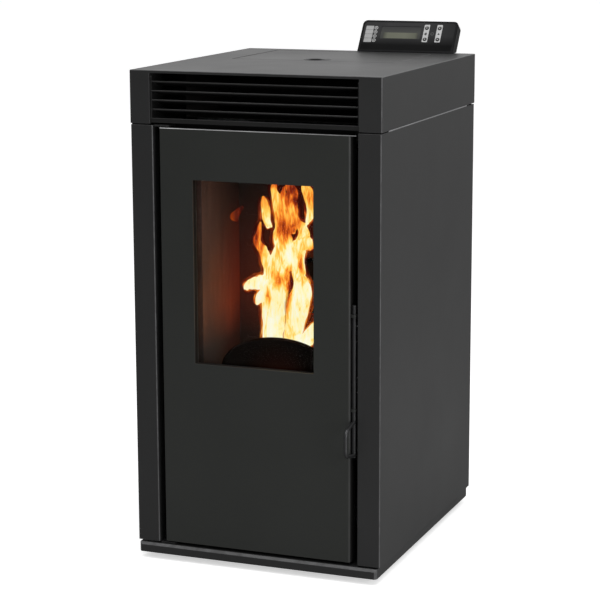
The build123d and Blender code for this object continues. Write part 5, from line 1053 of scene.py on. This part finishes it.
class STOVE_OT_fire(bpy.types.Operator):
    """Flames over the burn pot, and the pellets that glow in it"""
    bl_idname = "stove.fire"
    bl_label = "Fire"

    def execute(self, context):
        fire = context.scene.stove_fire
        noise.seed_set(fire.seed + 1)       # a seed of 0 would take the clock
        voxel = VOXEL
        for name, strokes, grow, back, drop, opacity, strength in FLAME_LAYERS:
            mesh = flame_mesh(name, strokes, grow, back, voxel if grow == 0.0 else voxel * 1.5)
            flame_heat(mesh, strokes, drop)
            piece = add_piece(name, mesh, flame_material(name, opacity, strength), "pot")
            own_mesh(piece)
        self.ember_bed(fire)
        return {"FINISHED"}

    def ember_bed(self, fire):
        """Short pellets heaped in the pot."""
        dice = random.Random(fire.seed)
        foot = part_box("burn_pot")[0].z
        middle = spot(0, 152, 0)
        shape = bmesh.new()
        for index in range(fire.pellets):
            length = dice.uniform(*PELLET_LENGTHS) * MM
            layer = index / max(fire.pellets, 1)
            turn = dice.uniform(0.0, math.pi)
            lean = dice.uniform(-0.35, 0.35)
            centre = Vector((
                middle.x + dice.uniform(-BED_REACH[0], BED_REACH[0]) * MM,
                middle.y + dice.uniform(-BED_REACH[1], BED_REACH[1]) * MM,
                foot + (BED_LOW + BED_HIGH * layer) * MM))
            along = Vector((math.cos(turn) * math.cos(lean), math.sin(turn) * math.cos(lean), math.sin(lean)))
            made = bmesh.ops.create_cone(
                shape, cap_ends=True, segments=8, radius1=PELLET_RADIUS * MM, radius2=PELLET_RADIUS * MM,
                depth=length)["verts"]
            turned = along.to_track_quat("Z", "Y").to_matrix()
            for vertex in made:
                vertex.co = centre + turned @ vertex.co
        mesh = mesh_from("ember_bed", shape)
        mesh.shade_smooth()
        material, tree, shader = new_material("embers", Roughness=0.9)
        ash = grain_of(tree, 160.0, 4.0)
        live = grain_of(tree, 55.0, 2.0)
        wire(tree, shader, Emission_Strength=1.4,
             Base_Color=ramp(tree, ash, [(0.35, (0.02, 0.014, 0.012)), (0.7, (0.16, 0.13, 0.11))]),
             Emission_Color=ramp(tree, live, [
                 (0.38, (0.02, 0.001, 0.0)), (0.75, (1.0, 0.42, 0.08)), (0.55, (0.75, 0.10, 0.01))]))
        bump(tree, shader, ash, 0.5)
        material.cycles.emission_sampling = "NONE"
        add_piece("ember_bed", mesh, material, "pot")


class STOVE_OT_feed(bpy.types.Operator):
    """Hopper, lid, auger and chute"""
    bl_idname = "stove.feed"
    bl_label = "Hopper and feed"

    def execute(self, context):
        dress("hopper", "hopper_guard", "hopper_seal", "hopper_lid", "lid_finger_cup", "lid_hinge_brackets",
              "auger_tube", "auger_screw", "auger_gearmotor", "pellet_chute")
        return {"FINISHED"}


COLLAR_FACE = 526.5                     # depth of the rear face of both collars
COLLAR_SCREW_RADIUS = 2.8
COLLARS = (
    # piece, pipe, radius of the ring of screws, number of screws
    ("flue_collar_screws", "flue_outlet", 46.0, 4), ("air_collar_screws", "air_intake_pipe", 31.5, 3))


class STOVE_OT_air(bpy.types.Operator):
    """Fans, flue, air pipe, duct and igniter"""
    bl_idname = "stove.air"
    bl_label = "Fans and pipes"

    def execute(self, context):
        dress("exhaust_fan_housing", "exhaust_fan_motor", "exhaust_impeller", "flue_outlet", "air_intake_pipe",
              "igniter", "room_fan_housing", "room_fan_motor", "room_fan_wheel")
        # The duct seen between the louvres gets black paint in place of its zinc: a painted shade for the dark
        # gaps behind the grille.
        dress("air_duct", finish="firebox_paint")
        for name, pipe, radius, count in COLLARS:
            low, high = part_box(pipe)
            middle = Vector(((low.x + high.x) / 2, spot(0, COLLAR_FACE, 0).y, (low.z + high.z) / 2))
            turns = [math.tau * (step + 0.5) / count for step in range(count)]
            places = [middle + Vector((math.cos(turn), 0.0, math.sin(turn))) * radius * MM for turn in turns]
            screw_heads(name, places, COLLAR_SCREW_RADIUS, "stove_body")
        return {"FINISHED"}


class STOVE_OT_electrics(bpy.types.Operator):
    """Control board, switches, thermostats and mains inlet"""
    bl_idname = "stove.electrics"
    bl_label = "Electrics"

    def execute(self, context):
        dress("control_board", "mains_inlet", "mains_switch", "safety_thermostats", "pressure_switch",
              "display_bracket")
        return {"FINISHED"}


CONSOLE_TILT = math.radians(55.5)
CONSOLE_ALONG = Vector((1.0, 0.0, 0.0))
CONSOLE_UP = Vector((0.0, math.cos(CONSOLE_TILT), math.sin(CONSOLE_TILT)))
CONSOLE_OUT = CONSOLE_ALONG.cross(CONSOLE_UP)
CONSOLE_CORNER = spot(-1.0, 511.0, 850.1)
LABEL_ROWS = [20.5 + 9.0 * row for row in range(4)]
KEY_COLUMNS = (128.5, 153.5)
KEY_ROWS = (29.0, 53.0)
KEY_SIGNS = (
    # outlines around the middle of each column: a bent arrow and a triangle
    [(-2.4, 38.6), (-0.2, 38.6), (-0.2, 36.6), (2.2, 40.8), (-0.2, 44.8), (-0.2, 42.4), (-2.4, 42.4)],
    [(-2.4, 39.2), (2.4, 39.2), (0.0, 43.4)])
SCREEN_LEFT, SCREEN_RIGHT = 45.0, 112.5
SENSOR = (141.0, 41.0)


def on_console(u, v, lift):
    """A point on the console's face, in metres, from its left end, up its slope and out of it."""
    return CONSOLE_CORNER + (CONSOLE_ALONG * u + CONSOLE_UP * v + CONSOLE_OUT * lift) * MM


def film(name, outlines, lift, material, body="stove_body", thick=0.08):
    """A thin printed film on the console. Its first outline is its edge, the others are holes or fields."""
    curve = bpy.data.curves.new(name, "CURVE")
    curve.dimensions = "2D"
    curve.fill_mode = "BOTH"
    curve.extrude = thick / 2
    for outline in outlines:
        line = curve.splines.new("POLY")
        line.points.add(len(outline) - 1)
        for point, (u, v) in zip(line.points, outline):
            point.co = (u, v, 0.0, 1.0)
        line.use_cyclic_u = True
    mesh = settled_mesh(name, add_object(name, curve))
    for vertex in mesh.vertices:
        vertex.co = on_console(vertex.co.x, vertex.co.y, lift + thick / 2 + vertex.co.z)
    return add_piece(name, mesh, material, body)


def print_material(name, colour):
    """Screen print: a flat ink with a fine mesh grain and slightly uneven cover."""
    material, tree, shader = new_material(name, Specular_IOR_Level=0.2)
    cover = grain_of(tree, 900.0, 2.0)
    slow = grain_of(tree, 70.0, 3.0)
    tone = maths(tree, "MULTIPLY", spread(tree, cover, 0.3, 0.7, 0.94, 1.05),
                 spread(tree, slow, 0.3, 0.7, 0.9, 1.08))
    wire(tree, shader, Base_Color=toned(tree, colour, tone), Roughness=spread(tree, slow, 0.3, 0.7, 0.45, 0.55))
    bump(tree, shader, cover, 0.01)
    return material


class STOVE_OT_console(bpy.types.Operator):
    """Housing, face, screen and keys of the tilted console, with their prints"""
    bl_idname = "stove.console"
    bl_label = "Console"

    def execute(self, context):
        dress("display_housing", "display_fascia", "display_window", "display_button_1", "display_button_2",
              "display_button_3", "display_button_4")
        look = context.scene.stove_console
        light = print_material("light_print", look.film_colour)
        self.labels(light, print_material("label_print", [part * 0.76 for part in look.film_colour]))
        film("screen_strip", [box_line(SCREEN_LEFT, 30.2, SCREEN_RIGHT, 42.6, 0.8)], -0.72,
             self.screen_material(look))
        self.key_fields(light, print_material("dark_print", (0.016, 0.016, 0.017)))
        film("sensor_ring", [round_line(*SENSOR, 3.2), round_line(*SENSOR, 2.3)], 0.0,
             print_material("grey_print", (0.10, 0.10, 0.10)))
        for number in range(1, 5):
            self.key_mark(number, light)
        return {"FINISHED"}

    def labels(self, light, pale):
        """A pale field in each label row, with a dotted ring beside it."""
        film("label_fields", [box_line(8.5, v, 23.6, v + 8.4, 0.4) for v in LABEL_ROWS], 0.0, pale)
        rings = [round_line(28.6, v + 4.2, radius) for v in LABEL_ROWS for radius in (3.6, 2.5, 1.1)]
        film("label_rings", rings, 0.0, light)

    def key_fields(self, light, dark):
        """A light field round each column of keys, with a sign between its keys."""
        for number, (u, sign) in enumerate(zip(KEY_COLUMNS, KEY_SIGNS), 1):
            edge = box_line(u - 5.3, 23.0, u + 5.3, 60.5, 1.4)
            film(f"key_field_{number}", [edge] + [round_line(u, v, 3.9) for v in KEY_ROWS], 0.0, light)
            film(f"key_sign_{number}", [[(u + across, v) for across, v in sign]], 0.08, dark, thick=0.04)

    def key_mark(self, number, material):
        """A light dot on top of a key, seated on its dome."""
        column, row = divmod(number - 1, 2)
        key = frame["nodes"][f"display_button_{number}"]
        out = max(CONSOLE_OUT.dot(vertex.co - on_console(0, 0, 0)) for vertex in key.data.vertices)
        film(f"key_mark_{number}", [round_line(KEY_COLUMNS[column], KEY_ROWS[row], 1.15)], out / MM - 0.02,
             material, f"button_{number}", 0.05)

    def screen_material(self, look):
        """Backlit strip, brighter in its middle, with a faint grain."""
        material, tree, shader = new_material("lit_screen", Roughness=0.3, Specular_IOR_Level=0.15)
        left, right = [on_console(u, 0, 0).x for u in (SCREEN_LEFT, SCREEN_RIGHT)]
        fall = ramp(tree, spread(tree, along_axis(tree, 0), left, right), [
            (place, (level, level, level))
            for place, level in ((0.0, 0.35), (1.0, 0.4), (0.12, 0.95), (0.65, 1.0), (0.93, 0.75))])
        dots = uneven(tree, 900.0, 0.93, 1.05, 2.0)
        shade = toned(tree, toned(tree, tuple(look.screen_colour), dots), fall)
        wire(tree, shader, Base_Color=toned(tree, shade, 0.4), Emission_Color=shade, Emission_Strength=0.26)
        material.cycles.emission_sampling = "NONE"
        return material


class STOVE_OT_feet(bpy.types.Operator):
    """Levelling feet"""
    bl_idname = "stove.feet"
    bl_label = "Feet"

    def execute(self, context):
        dress("foot_front_left", "foot_front_right", "foot_rear_left", "foot_rear_right")
        return {"FINISHED"}


SOFT_BOXES = (
    # name, place, aim, width, power
    ("overhead", (0.4, -1.0, 3.2), (0.0, 0.0, 0.4), 3.0, 58.0),
    ("right_box", (2.9, -1.7, 0.9), (0.2, -0.1, 0.35), 1.8, 42.0))
WHITE = (1.0, 1.0, 1.0)


def seen_by(tree):
    """The Light Path's outputs, and 1 for rays from the camera, also behind the glass."""
    path = put(tree, "ShaderNodeLightPath").outputs
    return path, maths(tree, "MAXIMUM", path["Is Camera Ray"], path["Is Transmission Ray"])


def add_lamp(name, kind, place, power):
    """Puts a lamp in the scene. Returns its object and its light."""
    light = bpy.data.lights.new(name, kind)
    light.energy = power
    holder = add_object(name, light)
    holder.location = place
    return holder, light


class STOVE_OT_stage(bpy.types.Operator):
    """Camera, pale floor and soft studio light"""
    bl_idname = "stove.stage"
    bl_label = "Studio"

    def execute(self, context):
        stage = context.scene.stove_stage
        context.scene.view_settings.view_transform = "Standard"
        self.camera(context, stage)
        self.floor(stage)
        self.world(context, stage)
        self.lamps(context)
        return {"FINISHED"}

    def camera(self, context, stage):
        """The camera of the picture."""
        lens = bpy.data.cameras.new("camera")
        lens.sensor_width = 36.0
        lens.lens = stage.lens
        lens.clip_end = 300.0
        camera = add_object("camera", lens)
        camera.location = stage.camera_place
        camera.rotation_mode = "XYZ"
        camera.rotation_euler = (math.pi / 2 + stage.camera_tilt, stage.camera_roll, stage.camera_turn)
        context.scene.camera = camera

    def floor(self, stage):
        """A wide pale floor that keeps the stove's shadow."""
        half = stage.floor_width / 2
        mesh = bpy.data.meshes.new("floor")
        mesh.from_pydata([(x, y, 0) for x, y in box_line(-half, -half, half, half)], [], [(0, 1, 2, 3)])
        floor = add_object("floor", mesh)
        material, tree, shader = new_material("floor", Roughness=0.9, Specular_IOR_Level=0.1)
        cloud = uneven(tree, 3.0, 0.985, 1.0)
        seen = seen_by(tree)[1]
        level = maths(tree, "MULTIPLY", cloud, spread(tree, seen, 0.0, 1.0, 0.5, 0.94))
        wire(tree, shader, Base_Color=toned(tree, WHITE, level), Emission_Color=toned(tree, WHITE, seen),
             Emission_Strength=0.55)
        mesh.materials.append(material)

    def world(self, context, stage):
        """White where it is seen, a plain even light elsewhere."""
        world = bpy.data.worlds.new("studio")
        context.scene.world = world
        world.use_nodes = True
        tree = world.node_tree
        path, seen = seen_by(tree)
        around = put(tree, "ShaderNodeTexCoord").outputs["Generated"]
        toward = put(tree, "ShaderNodeSeparateXYZ", {0: around}).outputs[1]
        mirrored = spread(tree, toward, -0.7, 0.6, 0.10, 1.0)
        level = maths(tree, "ADD", maths(tree, "MULTIPLY", path["Is Diffuse Ray"], stage.ambient),
                      maths(tree, "MULTIPLY", path["Is Glossy Ray"], mirrored))
        wire(tree, tree.nodes["Background"], Color=(*WHITE, 1.0), Strength=maths(tree, "MAXIMUM", seen, level))

    def lamps(self, context):
        """Soft boxes over the stove and to its right, and a warm lamp in the fire."""
        for name, place, aim, width, power in SOFT_BOXES:
            holder, light = add_lamp(name, "AREA", place, power)
            light.size = width
            holder.rotation_euler = (Vector(aim) - Vector(place)).to_track_quat("-Z", "Y").to_euler()
        holder, light = add_lamp("fire_lamp", "POINT", spot(2, 122, 440), context.scene.stove_fire.lamp_power)
        light.color = (1.0, 0.33, 0.11)
        light.shadow_soft_size = 0.03
        holder.visible_camera = False
        holder.visible_transmission = False
        holder.visible_glossy = False


class STOVE_PT_panel(bpy.types.Panel):
    """Lists the stove's pieces"""
    bl_label = "Pellet stove"
    bl_idname = "STOVE_PT_panel"
    bl_space_type = "VIEW_3D"
    bl_region_type = "UI"
    bl_category = "Stove"

    def draw(self, context):
        layout = self.layout
        for group in ("stove_finish", "stove_fire", "stove_console", "stove_stage"):
            settings = getattr(context.scene, group)
            for name in settings.bl_rna.properties.keys():
                if name not in ("rna_type", "name"):
                    layout.prop(settings, name)
        for operator in OPERATORS:
            layout.operator(operator.bl_idname)


SETTINGS = {"stove_finish": StoveFinish, "stove_fire": StoveFire, "stove_console": StoveConsole,
            "stove_stage": StoveStage}
OPERATORS = (STOVE_OT_stage, STOVE_OT_casing, STOVE_OT_grille, STOVE_OT_door, STOVE_OT_latch,
             STOVE_OT_firebox, STOVE_OT_fire, STOVE_OT_feed, STOVE_OT_air, STOVE_OT_electrics,
             STOVE_OT_console, STOVE_OT_feet)


def register():
    """Registers the settings, the operators and the panel."""
    for name, settings in SETTINGS.items():
        bpy.utils.register_class(settings)
        setattr(bpy.types.Scene, name, bpy.props.PointerProperty(type=settings))
    for operator in OPERATORS:
        bpy.utils.register_class(operator)
    bpy.utils.register_class(STOVE_PT_panel)


def unregister():
    """Takes them out again."""
    bpy.utils.unregister_class(STOVE_PT_panel)
    for operator in reversed(OPERATORS):
        bpy.utils.unregister_class(operator)
    for name, settings in SETTINGS.items():
        delattr(bpy.types.Scene, name)
        bpy.utils.unregister_class(settings)


def main():
    """Builds the whole stove."""
    register()
    shared_effects()
    for operator in OPERATORS:
        group, name = operator.bl_idname.split(".")
        getattr(getattr(bpy.ops, group), name)()


if __name__ == "__main__":
    main()
